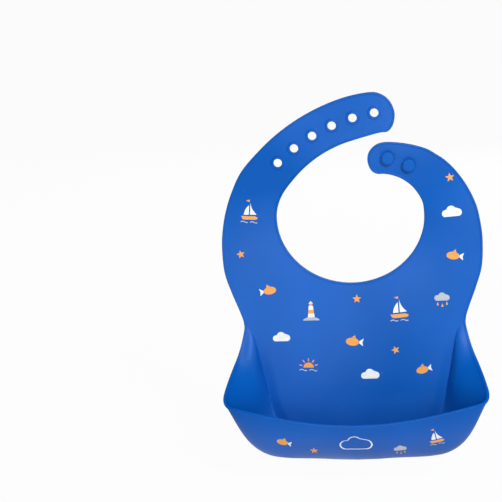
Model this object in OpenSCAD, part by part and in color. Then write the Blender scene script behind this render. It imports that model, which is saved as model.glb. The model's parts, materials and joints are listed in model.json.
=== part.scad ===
// Silicone bib with a button collar and a catch pocket.
// +X is the viewer's right, +Y the back, +Z up. The origin is the centre of the neck opening,
// in the middle of the sheet's thickness. The front of the bib faces -Y.
// The bib is one soft moulding. Its zones are separate solids here, parted where it bends.

/* [Sheet] */
// Thickness of the silicone sheet
sheet_t = 2; // [1.6:0.1:2.6]
// Width of the raised bead along the open edges
rim_w = 2.4; // [1.6:0.1:3.2]
// How far the edge bead stands proud of the front
rim_h = 0.6; // [0.3:0.1:1]

/* [Neck and shoulders] */
// Width of the neck opening
neck_w = 122.6; // [116:0.2:128]
// Depth of the neck opening below its centre
neck_drop = 57; // [54:0.5:61]
// Width across the shoulders at the widest place
shoulder_w = 217.5; // [210:0.5:224]
// Drop of the widest place below the neck's centre
shoulder_drop = 25; // [21:0.5:29]

/* [Hole strap] */
// Width of the strap where the holes are
strap_w = 35.5; // [34:0.5:39]
// Radius of the arc that the hole row follows
hole_arc_r = 148; // [145:0.5:151]
// Height of hole 1, at the strap's end, above the neck's centre
hole_1_rise = 85.6; // [84:0.2:88]
// Distance of hole 1 to the right of the neck's centre
hole_1_x = 22.8; // [21:0.2:25]
// Distance from hole to hole and from stud to stud
hole_pitch = 18.3; // [17.8:0.1:18.8]
// Diameter of a hole
hole_d = 7; // [6:0.1:8]
// Outer diameter of the raised collar round a hole
collar_d = 11; // [10:0.1:12]
// How far a collar stands proud of the front
collar_h = 0.7; // [0.4:0.1:1]
// Distance from the centre of hole 1 to the end of the strap
strap_end = 16.4; // [14:0.2:18]

/* [Stud strap] */
// Width of the strap at its outer stud
stud_strap_w = 30.5; // [28:0.5:33]
// Height of the inner stud above the neck's centre
stud_rise = 48; // [46:0.2:50]
// Distance of the inner stud to the right of the neck's centre
stud_x = 32.7; // [31:0.2:35]
// Distance from the inner stud to the end of the strap
stud_strap_end = 16.2; // [15:0.2:18]
// Diameter of a stud's head
stud_head_d = 11; // [10:0.1:12]
// Thickness of a stud's head
stud_head_h = 2.2; // [1.8:0.1:2.8]
// Chamfer round the top of a stud's head
stud_chamfer = 0.8; // [0.4:0.1:1.2]
// Clearance between a stud's neck and a hole
stud_clearance = 0.5; // [0.3:0.1:0.9]
// Play left for the other strap under a stud's head
stud_play = 0.5; // [0.3:0.1:0.9]

/* [Panel] */
// Width at the waist, above the pocket
waist_w = 186.4; // [181:0.5:191]
// Drop of the waist below the neck's centre
waist_drop = 93; // [90:0.5:96]
// Drop of the line where the panel runs into the pocket's floor
panel_drop = 197.5; // [193:0.5:202]

/* [Pocket] */
// Width of the pocket's mouth from corner to corner
mouth_w = 220; // [214:0.5:226]
// How far the middle of the lip stands in front of the panel
lip_depth = 51; // [46:0.5:56]
// Drop of the middle of the lip below the neck's centre
lip_drop = 166; // [162:0.5:170]
// How far the floor bows down between panel and front wall
floor_bow = 16; // [13:0.5:20]
// How much further the floor bows out round its two front corners
corner_bow = 12; // [9:0.5:15]
// How far the floor starts forward from the panel's foot beside the corners
fold_out = 12; // [8:0.5:16]
// How far the front wall leans forward over its lower half
wall_lean = 20; // [16:0.5:24]
// Height over which the front wall rises from the floor's bow
wall_rise = 49; // [45:0.5:53]
// Thickness of the bead along the pocket's lip
lip_bead_t = 2.8; // [2.4:0.1:3.8]
// Height of the bead along the pocket's lip
lip_bead_w = 3.2; // [2.4:0.1:4]

/* [Bending lines] */
// Height of the line where both straps fold over the shoulders
shoulder_fold_z = 6; // [4:0.5:8]
// Drop of the line where the pocket folds under the panel
belly_fold_drop = 78; // [76:0.5:80]
// Clearance between two zones at a bending line
fold_gap = 0.3; // [0.2:0.05:0.5]

/* [Hidden] */

HOLE_COUNT = 6;
HALF_T = sheet_t / 2;
SILICONE = "#2767c4";
SILICONE_DARK = "#0b4ba6";
SILICONE_DULL = "#3a6ab0";
EDGE_STEPS = 4;
ROUND_FN = 64;

// Smooth curves through points
function curve_point(a, b, c, d, t) =
    (2 * b + (c - a) * t + (2 * a - 5 * b + 4 * c - d) * t * t
        + (3 * b - a - 3 * c + d) * t * t * t) / 2;
function curve(p, steps) = let (last = len(p) - 1) [
    for (i = [0 : last - 1]) for (k = [0 : steps - 1])
        let (a = i > 0 ? p[i - 1] : 2 * p[0] - p[1],
             d = i < last - 1 ? p[i + 2] : 2 * p[last] - p[last - 1])
        curve_point(a, p[i], p[i + 1], d, k / steps),
    p[last]];
function part_of(p, first, last) = [for (i = [first : last]) p[i]];
function reversed(p) = [for (i = [len(p) - 1 : -1 : 0]) p[i]];
function unit(v) = v / norm(v);
function mix(a, b, t) = a + (b - a) * t;
function smooth(t) = let (u = min(1, max(0, t))) u * u * (3 - 2 * u);
function polar(centre, r, a) = centre + r * [cos(a), sin(a)];

// The hole row: an arc through hole 1, with equal steps from hole to hole
HOLE_STEP = 2 * asin(hole_pitch / 2 / hole_arc_r);
HOLE_1_ANGLE = 98;
ARC_CENTRE = [hole_1_x, hole_1_rise] - hole_arc_r * [cos(HOLE_1_ANGLE), sin(HOLE_1_ANGLE)];
ROW_OFFSET = 0.5;
OUTER_R = hole_arc_r + ROW_OFFSET + strap_w / 2;
INNER_R = hole_arc_r + ROW_OFFSET - strap_w / 2;
function hole_angle(i) = HOLE_1_ANGLE + (i - 1) * HOLE_STEP;
function hole_at(i) = polar(ARC_CENTRE, hole_arc_r, hole_angle(i));
// A place beside hole 1: along the strap towards its end, and outwards
function by_hole_1(along, out) = hole_at(1)
    + along * [sin(HOLE_1_ANGLE), -cos(HOLE_1_ANGLE)] + out * [cos(HOLE_1_ANGLE), sin(HOLE_1_ANGLE)];

// The stud row, and places beside it
STUD_ROW_ANGLE = -20.5;
STUD_DIR = [cos(STUD_ROW_ANGLE), sin(STUD_ROW_ANGLE)];
STUD_OUT = [-STUD_DIR[1], STUD_DIR[0]];
INNER_STUD = [stud_x, stud_rise];
OUTER_STUD = INNER_STUD + hole_pitch * STUD_DIR;
function by_stud(along, out) = INNER_STUD + along * STUD_DIR + out * STUD_OUT;

function neck_at(a) = [neck_w / 2 * cos(a), neck_drop * sin(a)];
FOLD_IN_X = 0.9918 * neck_w / 2;
FOLD_OUT_X = 0.95862 * shoulder_w / 2;
// A place above a shoulder's bending line: in from the line's outer end as a share of its length,
// and up as a share of the rise from the line to the strap's holes or studs
function over_shoulder(in, up, rise) =
    [mix(FOLD_OUT_X, FOLD_IN_X, in), shoulder_fold_z + up * rise];
HOLE_RISE = hole_at(HOLE_COUNT)[1] - shoulder_fold_z;
STUD_RISE = stud_rise - shoulder_fold_z;

// One side of the panel, from the waist up to the shoulder's bending line
function side_points() = [
    [waist_w / 2, -waist_drop],
    [mix(waist_w, shoulder_w, 0.25) / 2, -belly_fold_drop],
    [mix(waist_w, shoulder_w, 0.617) / 2, -mix(waist_drop, shoulder_drop, 0.45)],
    [mix(waist_w, shoulder_w, 0.932) / 2, -mix(waist_drop, shoulder_drop, 0.7)],
    [shoulder_w / 2, -shoulder_drop],
    [0.989 * shoulder_w / 2, -mix(shoulder_drop, -shoulder_fold_z, 0.48)],
    [FOLD_OUT_X, shoulder_fold_z]];
function mirrored(p) = [for (q = p) [-q[0], q[1]]];

SIDE_L = mirrored(side_points());
HOLE_OUT = concat(
    mirrored([over_shoulder(0.138, 0.42, HOLE_RISE), over_shoulder(0.359, 0.864, HOLE_RISE)]),
    [for (i = [6, 5, 4, 3.5, 3, 2]) polar(ARC_CENTRE, OUTER_R, hole_angle(i))]);
// Rows of [share of strap_end, share of half of strap_w] round the hole strap's end
HOLE_TIP_SHAPE = [[-0.061, 0.978], [0.512, 0.784], [0.866, 0.395], [1, -0.13], [0.878, -0.6],
    [0.66, -0.88], [0.43, -0.985], [0.05, -0.965]];
HOLE_TIP = [for (r = HOLE_TIP_SHAPE) by_hole_1(r[0] * strap_end, r[1] * strap_w / 2)];
// Rows of [hole, share of strap_w by which the inner edge lies inside INNER_R there]
HOLE_IN_SHAPE = [[2, 0.02], [3, 0.006], [3.5, 0.003], [4, 0.003], [5, 0.017], [6, 0.048]];
HOLE_IN = concat(
    [for (r = HOLE_IN_SHAPE) polar(ARC_CENTRE, INNER_R - r[1] * strap_w, hole_angle(r[0]))],
    mirrored([over_shoulder(1.115, 0.333, HOLE_RISE)]));
NECK = concat([[-FOLD_IN_X, shoulder_fold_z]],
    [for (a = [188 : 13.666666 : 352.1]) neck_at(a)],
    [[FOLD_IN_X, shoulder_fold_z]]);
// Rows of [share of stud_strap_end, share of half of stud_strap_w] round the stud strap's end
STUD_TIP_SHAPE = [[0.086, -0.918], [-0.198, -1.023], [-0.481, -1.01], [-0.747, -0.813],
    [-0.963, -0.433], [-1, -0.013], [-0.809, 0.433], [-0.438, 0.734]];
// Rows of [share of hole_pitch, share of half of stud_strap_w] along the strap's outer edge
STUD_OUT_SHAPE = [[0.12, 0.931], [0.601, 1.049], [1.126, 1.118], [1.585, 1.115], [1.967, 1.016]];
// The same along its inner edge
STUD_IN_SHAPE = [[0.902, -0.869], [0.437, -0.846]];
STUD_HALF = stud_strap_w / 2;
STUD_IN = concat(
    [over_shoulder(1.0575, 0.1905, STUD_RISE), over_shoulder(1.2071, 0.4143, STUD_RISE)],
    [for (r = STUD_IN_SHAPE) by_stud(r[0] * hole_pitch, r[1] * STUD_HALF)]);
STUD_TIP = [for (r = STUD_TIP_SHAPE) by_stud(r[0] * stud_strap_end, r[1] * STUD_HALF)];
STUD_OUT_EDGE = concat(
    [for (r = STUD_OUT_SHAPE) by_stud(r[0] * hole_pitch, r[1] * STUD_HALF)],
    [over_shoulder(0.5719, 0.9167, STUD_RISE), over_shoulder(0.3636, 0.6905, STUD_RISE),
        over_shoulder(0.1565, 0.369, STUD_RISE)]);
SIDE_R = reversed(side_points());

// The whole open edge, from the left waist up, round both straps and the neck, to the right waist
EDGE_POINTS = concat(SIDE_L, HOLE_OUT, HOLE_TIP, HOLE_IN, NECK, STUD_IN, STUD_TIP,
    STUD_OUT_EDGE, SIDE_R);
EDGE = curve(EDGE_POINTS, EDGE_STEPS);
// The places of the bending lines along that edge
AT_BELLY_L = EDGE_STEPS;
AT_FOLD_OUT_L = (len(SIDE_L) - 1) * EDGE_STEPS;
AT_TIP_OUT = (len(SIDE_L) + 5) * EDGE_STEPS;
AT_TIP_IN = (len(SIDE_L) + len(HOLE_OUT) + len(HOLE_TIP) + 2) * EDGE_STEPS;
AT_FOLD_IN_L = (len(SIDE_L) + len(HOLE_OUT) + len(HOLE_TIP) + len(HOLE_IN)) * EDGE_STEPS;
AT_FOLD_IN_R = AT_FOLD_IN_L + (len(NECK) - 1) * EDGE_STEPS;
AT_STUD_IN = AT_FOLD_IN_R + 2 * EDGE_STEPS;
AT_STUD_OUT = AT_FOLD_IN_R + (len(STUD_IN) + len(STUD_TIP) + 6) * EDGE_STEPS;
AT_FOLD_OUT_R = AT_FOLD_IN_R + (len(STUD_IN) + len(STUD_TIP) + len(STUD_OUT_EDGE) + 1) * EDGE_STEPS;
AT_BELLY_R = AT_FOLD_OUT_R + (len(SIDE_R) - 2) * EDGE_STEPS;
AT_END = len(EDGE) - 1;

function edge_run(first, last) = part_of(EDGE, first, last);
function inset_at(i) = let (a = EDGE[max(0, i - 1)], b = EDGE[min(AT_END, i + 1)], t = unit(b - a))
    EDGE[i] + rim_w * [t[1], -t[0]];
function rim_run(first, last) =
    concat(edge_run(first, last), [for (i = [last : -1 : first]) inset_at(i)]);

// Rows of [share of waist_w, share of panel height] along the line where the panel meets the pocket
CREASE_SHAPE = [[1, 0], [0.93, 0.105], [0.89, 0.234], [0.866, 0.359], [0.839, 0.488],
    [0.812, 0.612], [0.774, 0.737], [0.708, 0.852], [0.6, 0.93], [0.43, 0.977],
    [0.215, 0.996], [0, 1]];
// Rows of [share of waist_w, share of mouth_w, share of lip_depth, share of lip drop] along the lip
LIP_SHAPE = [[1, 0, 0, 0], [0.875, 0.125, 0.05, 0.16], [0.66, 0.34, 0.157, 0.32],
    [0.375, 0.625, 0.31, 0.48], [0.13, 0.87, 0.49, 0.625], [0, 1, 0.63, 0.735],
    [0, 0.965, 0.725, 0.81], [0, 0.87, 0.81, 0.838], [0, 0.68, 0.9, 0.889],
    [0, 0.465, 0.96, 0.943], [0, 0.23, 0.99, 0.985], [0, 0, 1, 1]];
POCKET_STEPS = 3;
SECTION_STEPS = 10;
FLOOR_SHARE = 5;
CREASE_HALF = curve([for (r = CREASE_SHAPE)
    [r[0] * waist_w / 2, 0, -mix(waist_drop, panel_drop, r[1])]], POCKET_STEPS);
LIP_HALF = curve([for (r = LIP_SHAPE)
    [(r[0] * waist_w + r[1] * mouth_w) / 2, -r[2] * lip_depth, -mix(waist_drop, lip_drop, r[3])]],
    POCKET_STEPS);
HALF_LAST = len(CREASE_HALF) - 1;
CORNER_AT = 6 * POCKET_STEPS;

function in_plane_normal(i) =
    let (t = unit(CREASE_HALF[min(HALF_LAST, i + 1)] - CREASE_HALF[max(0, i - 1)])) [-t[2], 0, t[0]];
// The four control points of the pocket's section at station i, from the panel to the lip
function section_controls(i) =
    let (c = CREASE_HALF[i], l = LIP_HALF[i], s = i / POCKET_STEPS,
         floor_like = smooth((s - 4) / 4), grown = smooth(s / 2.5),
         side_1 = mix(c, l, 0.12) + [0, -0.118 * lip_depth * grown, 0],
         side_2 = mix(c, l, 0.62) + [0, -0.02 * lip_depth * grown, 0],
         round_corner = smooth((s - 3) / 2) * (1 - smooth((s - 7) / 3)),
         folded = smooth((s - 3) / 1.5) * (1 - smooth((s - 6.5) / 3)),
         floor_1 = c + in_plane_normal(i) * (floor_bow * grown + corner_bow * round_corner)
             + [0, -fold_out * folded, 0],
         floor_2 = l + [0, wall_lean, -wall_rise - corner_bow / 2 * round_corner],
         far = mix(side_2, floor_2, floor_like), back = far - l, reach = norm(back),
         end = reach > 0 ? l + back / reach * min(lip_bead_w, reach / 2) : l)
    [c, mix(side_1, floor_1, floor_like), far, end];
function on_section(p, t) = pow(1 - t, 3) * p[0] + 3 * pow(1 - t, 2) * t * p[1]
    + 3 * (1 - t) * t * t * p[2] + pow(t, 3) * p[3];
HALF_CONTROLS = [for (i = [0 : HALF_LAST]) section_controls(i)];
function flip_x(p) = [-p[0], p[1], p[2]];
// Stations 0 to 2 * HALF_LAST run from the right waist round the front to the left waist
STATIONS = 2 * HALF_LAST;
function controls(i) = i <= HALF_LAST ? HALF_CONTROLS[i]
    : [for (p = HALF_CONTROLS[STATIONS - i]) flip_x(p)];
SHEET = [for (i = [0 : STATIONS]) let (p = controls(i))
    [for (j = [0 : SECTION_STEPS]) on_section(p, j / SECTION_STEPS)]];
// The sheet's normal, towards the inside of the pocket. It is the panel's own along the crease
// and at the two waist points, where the section has no length.
function sheet_normal(i, j) = j == 0 || i == 0 || i == STATIONS ? [0, -1, 0] : unit(cross(
    SHEET[i + 1][j] - SHEET[i - 1][j],
    SHEET[i][min(SECTION_STEPS, j + 1)] - SHEET[i][j - 1]));
NORMALS = [for (i = [0 : STATIONS]) [for (j = [0 : SECTION_STEPS]) sheet_normal(i, j)]];
FIRST_STATION = 1;
LAST_STATION = STATIONS - 1;

// A closed solid between two grids of points of the same size. All its sides are parted along the
// same diagonal, so that two zones that share a side meet face to face.
module grid_solid(upper, lower) {
    rows = len(upper);
    cols = len(upper[0]);
    points = concat([for (row = upper) for (p = row) p], [for (row = lower) for (p = row) p]);
    function up(i, j) = i * cols + j;
    function down(i, j) = rows * cols + i * cols + j;
    faces = concat(
        [for (i = [0 : rows - 2]) for (j = [0 : cols - 2]) for (f = [
            [up(i, j), up(i, j + 1), up(i + 1, j + 1)], [up(i, j), up(i + 1, j + 1), up(i + 1, j)],
            [down(i, j), down(i + 1, j + 1), down(i, j + 1)],
            [down(i, j), down(i + 1, j), down(i + 1, j + 1)]]) f],
        [for (i = [0 : rows - 2]) for (f = [
            [up(i, 0), up(i + 1, 0), down(i, 0)], [up(i + 1, 0), down(i + 1, 0), down(i, 0)],
            [up(i + 1, cols - 1), up(i, cols - 1), down(i, cols - 1)],
            [up(i + 1, cols - 1), down(i, cols - 1), down(i + 1, cols - 1)]]) f],
        [for (j = [0 : cols - 2]) for (f = [
            [up(0, j + 1), up(0, j), down(0, j)], [up(0, j + 1), down(0, j), down(0, j + 1)],
            [up(rows - 1, j), up(rows - 1, j + 1), down(rows - 1, j)],
            [up(rows - 1, j + 1), down(rows - 1, j + 1), down(rows - 1, j)]]) f]);
    polyhedron(points, faces);
}
// A zone of the pocket's sheet, between two stations and two places of the section
module sheet_zone(first, last, low, high) {
    grid_solid(
        [for (i = [first : last]) [for (j = [low : high]) SHEET[i][j] + NORMALS[i][j] * HALF_T]],
        [for (i = [first : last]) [for (j = [low : high]) SHEET[i][j] - NORMALS[i][j] * HALF_T]]);
}

// Solids stand upright: a flat outline in X and Z, given thickness along Y
module upright(from_y, to_y) {
    translate([0, to_y, 0]) rotate([90, 0, 0]) linear_extrude(height = to_y - from_y) children();
}
module plate(outline) { upright(-HALF_T, HALF_T) polygon(outline); }
module bead(first, last) {
    upright(-HALF_T - rim_h, -HALF_T) polygon(rim_run(first, last));
}
// A block along a bending line from a to b, reaching back and on from the line
module along_line(a, b, back, on, depth) {
    d = unit(b - a);
    translate([a[0], 0, a[1]]) rotate([0, -atan2(d[1], d[0]), 0])
        translate([-2, -depth / 2, -back]) cube([norm(b - a) + 4, depth, back + on]);
}
// A round rod along a bending line, so that the moving zone turns about its own axis
ROD_R = HALF_T - 0.05;
ROD_MARGIN = 1.5;
module fold_rod(a, b) {
    d = unit(b - a);
    translate([a[0], 0, a[1]]) rotate([0, 90 - atan2(d[1], d[0]), 0])
        translate([0, 0, ROD_MARGIN])
            cylinder(r = ROD_R, h = norm(b - a) - 2 * ROD_MARGIN, $fn = ROUND_FN);
}
CUT = HALF_T + fold_gap;
BEAD_CUT = HALF_T + rim_h + 1;
DEEP = 3 * sheet_t;

BELLY_L = EDGE[AT_BELLY_L];
BELLY_R = EDGE[AT_BELLY_R];
FOLD_OUT_L = EDGE[AT_FOLD_OUT_L];
FOLD_IN_L = EDGE[AT_FOLD_IN_L];
FOLD_IN_R = EDGE[AT_FOLD_IN_R];
FOLD_OUT_R = EDGE[AT_FOLD_OUT_R];
TIP_OUT = EDGE[AT_TIP_OUT];
TIP_IN = EDGE[AT_TIP_IN];
STUD_IN_AT = EDGE[AT_STUD_IN];
STUD_OUT_AT = EDGE[AT_STUD_OUT];

module chest_panel() {
    color(SILICONE) difference() {
        plate(concat(edge_run(AT_BELLY_L, AT_FOLD_OUT_L), edge_run(AT_FOLD_IN_L, AT_FOLD_IN_R),
            edge_run(AT_FOLD_OUT_R, AT_BELLY_R)));
        along_line(FOLD_OUT_L, FOLD_IN_L, CUT, CUT, DEEP);
        along_line(FOLD_IN_R, FOLD_OUT_R, CUT, CUT, DEEP);
        along_line(BELLY_L, BELLY_R, CUT, CUT, DEEP);
    }
}
module chest_edge_bead() {
    color(SILICONE) difference() {
        union() {
            bead(AT_BELLY_L, AT_FOLD_OUT_L);
            bead(AT_FOLD_IN_L, AT_FOLD_IN_R);
            bead(AT_FOLD_OUT_R, AT_BELLY_R);
        }
        along_line(FOLD_OUT_L, FOLD_IN_L, BEAD_CUT, BEAD_CUT, DEEP);
        along_line(FOLD_IN_R, FOLD_OUT_R, BEAD_CUT, BEAD_CUT, DEEP);
        along_line(BELLY_L, BELLY_R, BEAD_CUT, BEAD_CUT, DEEP);
    }
}

module hole_collar(i) {
    translate([hole_at(i)[0], -HALF_T - collar_h, hole_at(i)[1]]) rotate([-90, 0, 0])
        cylinder(d = collar_d, h = collar_h + HALF_T, $fn = ROUND_FN);
}
module hole_bore(i) {
    translate([hole_at(i)[0], -DEEP, hole_at(i)[1]]) rotate([-90, 0, 0])
        cylinder(d = hole_d, h = 2 * DEEP, $fn = ROUND_FN);
}
module hole_strap_root() {
    color(SILICONE) {
        difference() {
            union() {
                plate(concat(edge_run(AT_FOLD_OUT_L, AT_TIP_OUT), edge_run(AT_TIP_IN, AT_FOLD_IN_L)));
                for (i = [4 : HOLE_COUNT]) hole_collar(i);
                fold_rod(FOLD_OUT_L, FOLD_IN_L);
            }
            for (i = [4 : HOLE_COUNT]) hole_bore(i);
            along_line(TIP_IN, TIP_OUT, CUT, CUT, DEEP);
        }
    }
}
module hole_strap_root_bead() {
    color(SILICONE) difference() {
        union() {
            bead(AT_FOLD_OUT_L, AT_TIP_OUT);
            bead(AT_TIP_IN, AT_FOLD_IN_L);
        }
        along_line(FOLD_OUT_L, FOLD_IN_L, BEAD_CUT, BEAD_CUT, DEEP);
        along_line(TIP_IN, TIP_OUT, BEAD_CUT, BEAD_CUT, DEEP);
    }
}
module hole_strap_tip() {
    color(SILICONE) difference() {
        union() {
            plate(edge_run(AT_TIP_OUT, AT_TIP_IN));
            for (i = [1 : 3]) hole_collar(i);
            fold_rod(TIP_IN, TIP_OUT);
        }
        for (i = [1 : 3]) hole_bore(i);
    }
}
module hole_strap_tip_bead() {
    color(SILICONE) difference() {
        bead(AT_TIP_OUT, AT_TIP_IN);
        along_line(TIP_IN, TIP_OUT, BEAD_CUT, BEAD_CUT, DEEP);
    }
}

module stud_strap_root() {
    color(SILICONE) difference() {
        union() {
            plate(concat(edge_run(AT_FOLD_IN_R, AT_STUD_IN), edge_run(AT_STUD_OUT, AT_FOLD_OUT_R)));
            fold_rod(FOLD_IN_R, FOLD_OUT_R);
        }
        along_line(STUD_IN_AT, STUD_OUT_AT, CUT, CUT, DEEP);
    }
}
module stud_strap_root_bead() {
    color(SILICONE) difference() {
        union() {
            bead(AT_FOLD_IN_R, AT_STUD_IN);
            bead(AT_STUD_OUT, AT_FOLD_OUT_R);
        }
        along_line(FOLD_IN_R, FOLD_OUT_R, BEAD_CUT, BEAD_CUT, DEEP);
        along_line(STUD_IN_AT, STUD_OUT_AT, BEAD_CUT, BEAD_CUT, DEEP);
    }
}
module stud_strap_tip() {
    color(SILICONE) union() {
        plate(edge_run(AT_STUD_IN, AT_STUD_OUT));
        fold_rod(STUD_IN_AT, STUD_OUT_AT);
    }
}
module stud_strap_tip_bead() {
    color(SILICONE) difference() {
        bead(AT_STUD_IN, AT_STUD_OUT);
        along_line(STUD_IN_AT, STUD_OUT_AT, BEAD_CUT, BEAD_CUT, DEEP);
    }
}
// A stud: a neck as long as the other strap is thick, and a flat head with a chamfered top
NECK_H = sheet_t + collar_h + stud_play;
module stud(at) {
    neck_r = (hole_d - stud_clearance) / 2;
    head_r = stud_head_d / 2;
    translate([at[0], -HALF_T, at[1]]) rotate([90, 0, 0]) rotate_extrude($fn = ROUND_FN)
        polygon([[0, 0], [neck_r, 0], [neck_r, NECK_H], [head_r, NECK_H],
            [head_r, NECK_H + stud_head_h - stud_chamfer],
            [head_r - stud_chamfer, NECK_H + stud_head_h], [0, NECK_H + stud_head_h]]);
}
module inner_stud() { color(SILICONE) stud(INNER_STUD); }
module outer_stud() { color(SILICONE) stud(OUTER_STUD); }

module belly_panel() {
    crease_r = [for (i = [FIRST_STATION : HALF_LAST]) [CREASE_HALF[i][0], CREASE_HALF[i][2]]];
    crease_l = reversed([for (i = [FIRST_STATION : HALF_LAST - 1])
        [-CREASE_HALF[i][0], CREASE_HALF[i][2]]]);
    lip_r = [LIP_HALF[FIRST_STATION][0], LIP_HALF[FIRST_STATION][2]];
    color(SILICONE_DARK) union() {
        plate(concat(edge_run(0, AT_BELLY_L), edge_run(AT_BELLY_R, AT_END), [lip_r], crease_r,
            crease_l, mirrored([lip_r])));
        fold_rod(BELLY_L, BELLY_R);
    }
}
module belly_edge_bead() {
    color(SILICONE) difference() {
        union() {
            bead(0, AT_BELLY_L);
            bead(AT_BELLY_R, AT_END);
        }
        along_line(BELLY_L, BELLY_R, BEAD_CUT, BEAD_CUT, DEEP);
    }
}
module right_gusset() {
    color(SILICONE_DARK) sheet_zone(FIRST_STATION, CORNER_AT, 0, SECTION_STEPS);
}
module left_gusset() {
    color(SILICONE_DARK) sheet_zone(STATIONS - CORNER_AT, LAST_STATION, 0, SECTION_STEPS);
}
module pocket_floor() {
    color(SILICONE_DULL) sheet_zone(CORNER_AT, STATIONS - CORNER_AT, 0, FLOOR_SHARE);
}
module pocket_front_wall() {
    color(SILICONE_DULL) sheet_zone(CORNER_AT, STATIONS - CORNER_AT, FLOOR_SHARE, SECTION_STEPS);
}
// The bead: an eight-sided section swept along the lip, with its root as thick as the wall
module pocket_lip_bead() {
    function lip(i) = i <= HALF_LAST ? LIP_HALF[i] : flip_x(LIP_HALF[STATIONS - i]);
    half_b = lip_bead_t / 2;
    function ring(i) = let (root = SHEET[i][SECTION_STEPS], w = unit(lip(i) - root),
            n = NORMALS[i][SECTION_STEPS], h = norm(lip(i) - root), side = unit(n - w * (n * w)))
        [for (q = [[0, HALF_T], [0.25, half_b], [0.7, half_b], [1, half_b * 0.45],
            [1, -half_b * 0.45], [0.7, -half_b], [0.25, -half_b], [0, -HALF_T]])
            root + w * h * q[0] + (q[0] == 0 ? n : side) * q[1]];
    rings = [for (i = [FIRST_STATION : LAST_STATION]) ring(i)];
    sides = 8;
    count = len(rings);
    faces = concat(
        [for (i = [0 : count - 2]) for (k = [0 : sides - 1]) let (m = (k + 1) % sides) for (f = [
            [i * sides + k, i * sides + m, (i + 1) * sides + m],
            [i * sides + k, (i + 1) * sides + m, (i + 1) * sides + k]]) f],
        [[for (k = [sides - 1 : -1 : 0]) k]],
        [[for (k = [0 : sides - 1]) (count - 1) * sides + k]]);
    color(SILICONE) polyhedron([for (r = rings) for (p = r) p], faces);
}

chest_panel();
chest_edge_bead();
hole_strap_root();
hole_strap_root_bead();
hole_strap_tip();
hole_strap_tip_bead();
stud_strap_root();
stud_strap_root_bead();
stud_strap_tip();
stud_strap_tip_bead();
inner_stud();
outer_stud();
belly_panel();
belly_edge_bead();
left_gusset();
right_gusset();
pocket_floor();
pocket_front_wall();
pocket_lip_bead();
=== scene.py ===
"""A soft silicone bib with a button collar and a catch pocket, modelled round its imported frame."""

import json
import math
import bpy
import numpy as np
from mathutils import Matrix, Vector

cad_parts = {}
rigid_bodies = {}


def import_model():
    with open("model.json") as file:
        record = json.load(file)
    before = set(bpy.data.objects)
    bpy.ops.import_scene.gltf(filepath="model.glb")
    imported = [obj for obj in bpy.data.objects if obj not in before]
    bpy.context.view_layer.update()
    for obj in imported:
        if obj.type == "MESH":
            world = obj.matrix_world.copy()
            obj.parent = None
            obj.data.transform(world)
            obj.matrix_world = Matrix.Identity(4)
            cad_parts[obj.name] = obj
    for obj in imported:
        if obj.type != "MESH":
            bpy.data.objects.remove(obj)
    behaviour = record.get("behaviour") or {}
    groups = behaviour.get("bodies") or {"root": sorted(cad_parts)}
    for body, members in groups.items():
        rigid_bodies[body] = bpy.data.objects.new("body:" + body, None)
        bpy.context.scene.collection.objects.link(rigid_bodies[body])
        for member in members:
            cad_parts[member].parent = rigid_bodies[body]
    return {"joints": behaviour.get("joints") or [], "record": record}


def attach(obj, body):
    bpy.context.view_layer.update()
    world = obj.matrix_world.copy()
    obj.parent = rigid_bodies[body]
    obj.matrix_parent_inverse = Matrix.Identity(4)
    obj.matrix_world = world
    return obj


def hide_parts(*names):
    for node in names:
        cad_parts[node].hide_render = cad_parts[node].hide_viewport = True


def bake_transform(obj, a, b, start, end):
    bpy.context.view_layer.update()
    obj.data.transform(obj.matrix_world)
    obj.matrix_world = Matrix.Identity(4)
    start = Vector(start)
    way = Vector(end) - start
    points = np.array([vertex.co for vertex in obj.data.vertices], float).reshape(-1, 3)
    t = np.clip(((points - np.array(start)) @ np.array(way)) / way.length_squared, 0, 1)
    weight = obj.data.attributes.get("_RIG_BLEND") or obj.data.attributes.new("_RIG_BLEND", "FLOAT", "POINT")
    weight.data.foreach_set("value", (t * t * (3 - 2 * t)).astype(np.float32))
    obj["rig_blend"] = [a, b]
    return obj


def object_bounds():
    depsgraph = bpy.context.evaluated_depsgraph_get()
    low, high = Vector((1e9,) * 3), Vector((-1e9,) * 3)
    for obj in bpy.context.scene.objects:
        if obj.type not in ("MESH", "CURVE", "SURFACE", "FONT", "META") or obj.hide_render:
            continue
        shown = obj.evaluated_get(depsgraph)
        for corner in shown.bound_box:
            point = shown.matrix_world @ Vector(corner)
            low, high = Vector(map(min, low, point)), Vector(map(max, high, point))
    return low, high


bl_info = {
    "name": "Silicone Bib",
    "version": (1, 0, 0),
    "blender": (4, 5, 0),
    "location": "View3D > Sidebar > Bib",
    "description": "A soft silicone bib with a button collar and a catch pocket",
    "category": "Add Mesh",
}

import bmesh
import bpy
from bpy.props import FloatProperty, FloatVectorProperty, PointerProperty
from mathutils import Matrix, Vector
from mathutils.bvhtree import BVHTree

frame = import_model()
CAD_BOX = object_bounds()
MM = 0.001
HOLES = sorted(m["name"] for m in frame["record"]["mounts"] if m["kind"] == "bore")
JOINTS = {j["name"]: j for j in frame["joints"]}


# ---------------------------------------------------------------- sizes and colours


def length(name, text, default):
    """A size that a user may change, in metres"""
    return FloatProperty(name=name, description=text, default=default, unit="LENGTH", precision=4)


def colour(name, text, default):
    """A linear colour that a user may change"""
    return FloatVectorProperty(
        name=name, description=text, default=default, subtype="COLOR", size=3, min=0, max=1
    )


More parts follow.
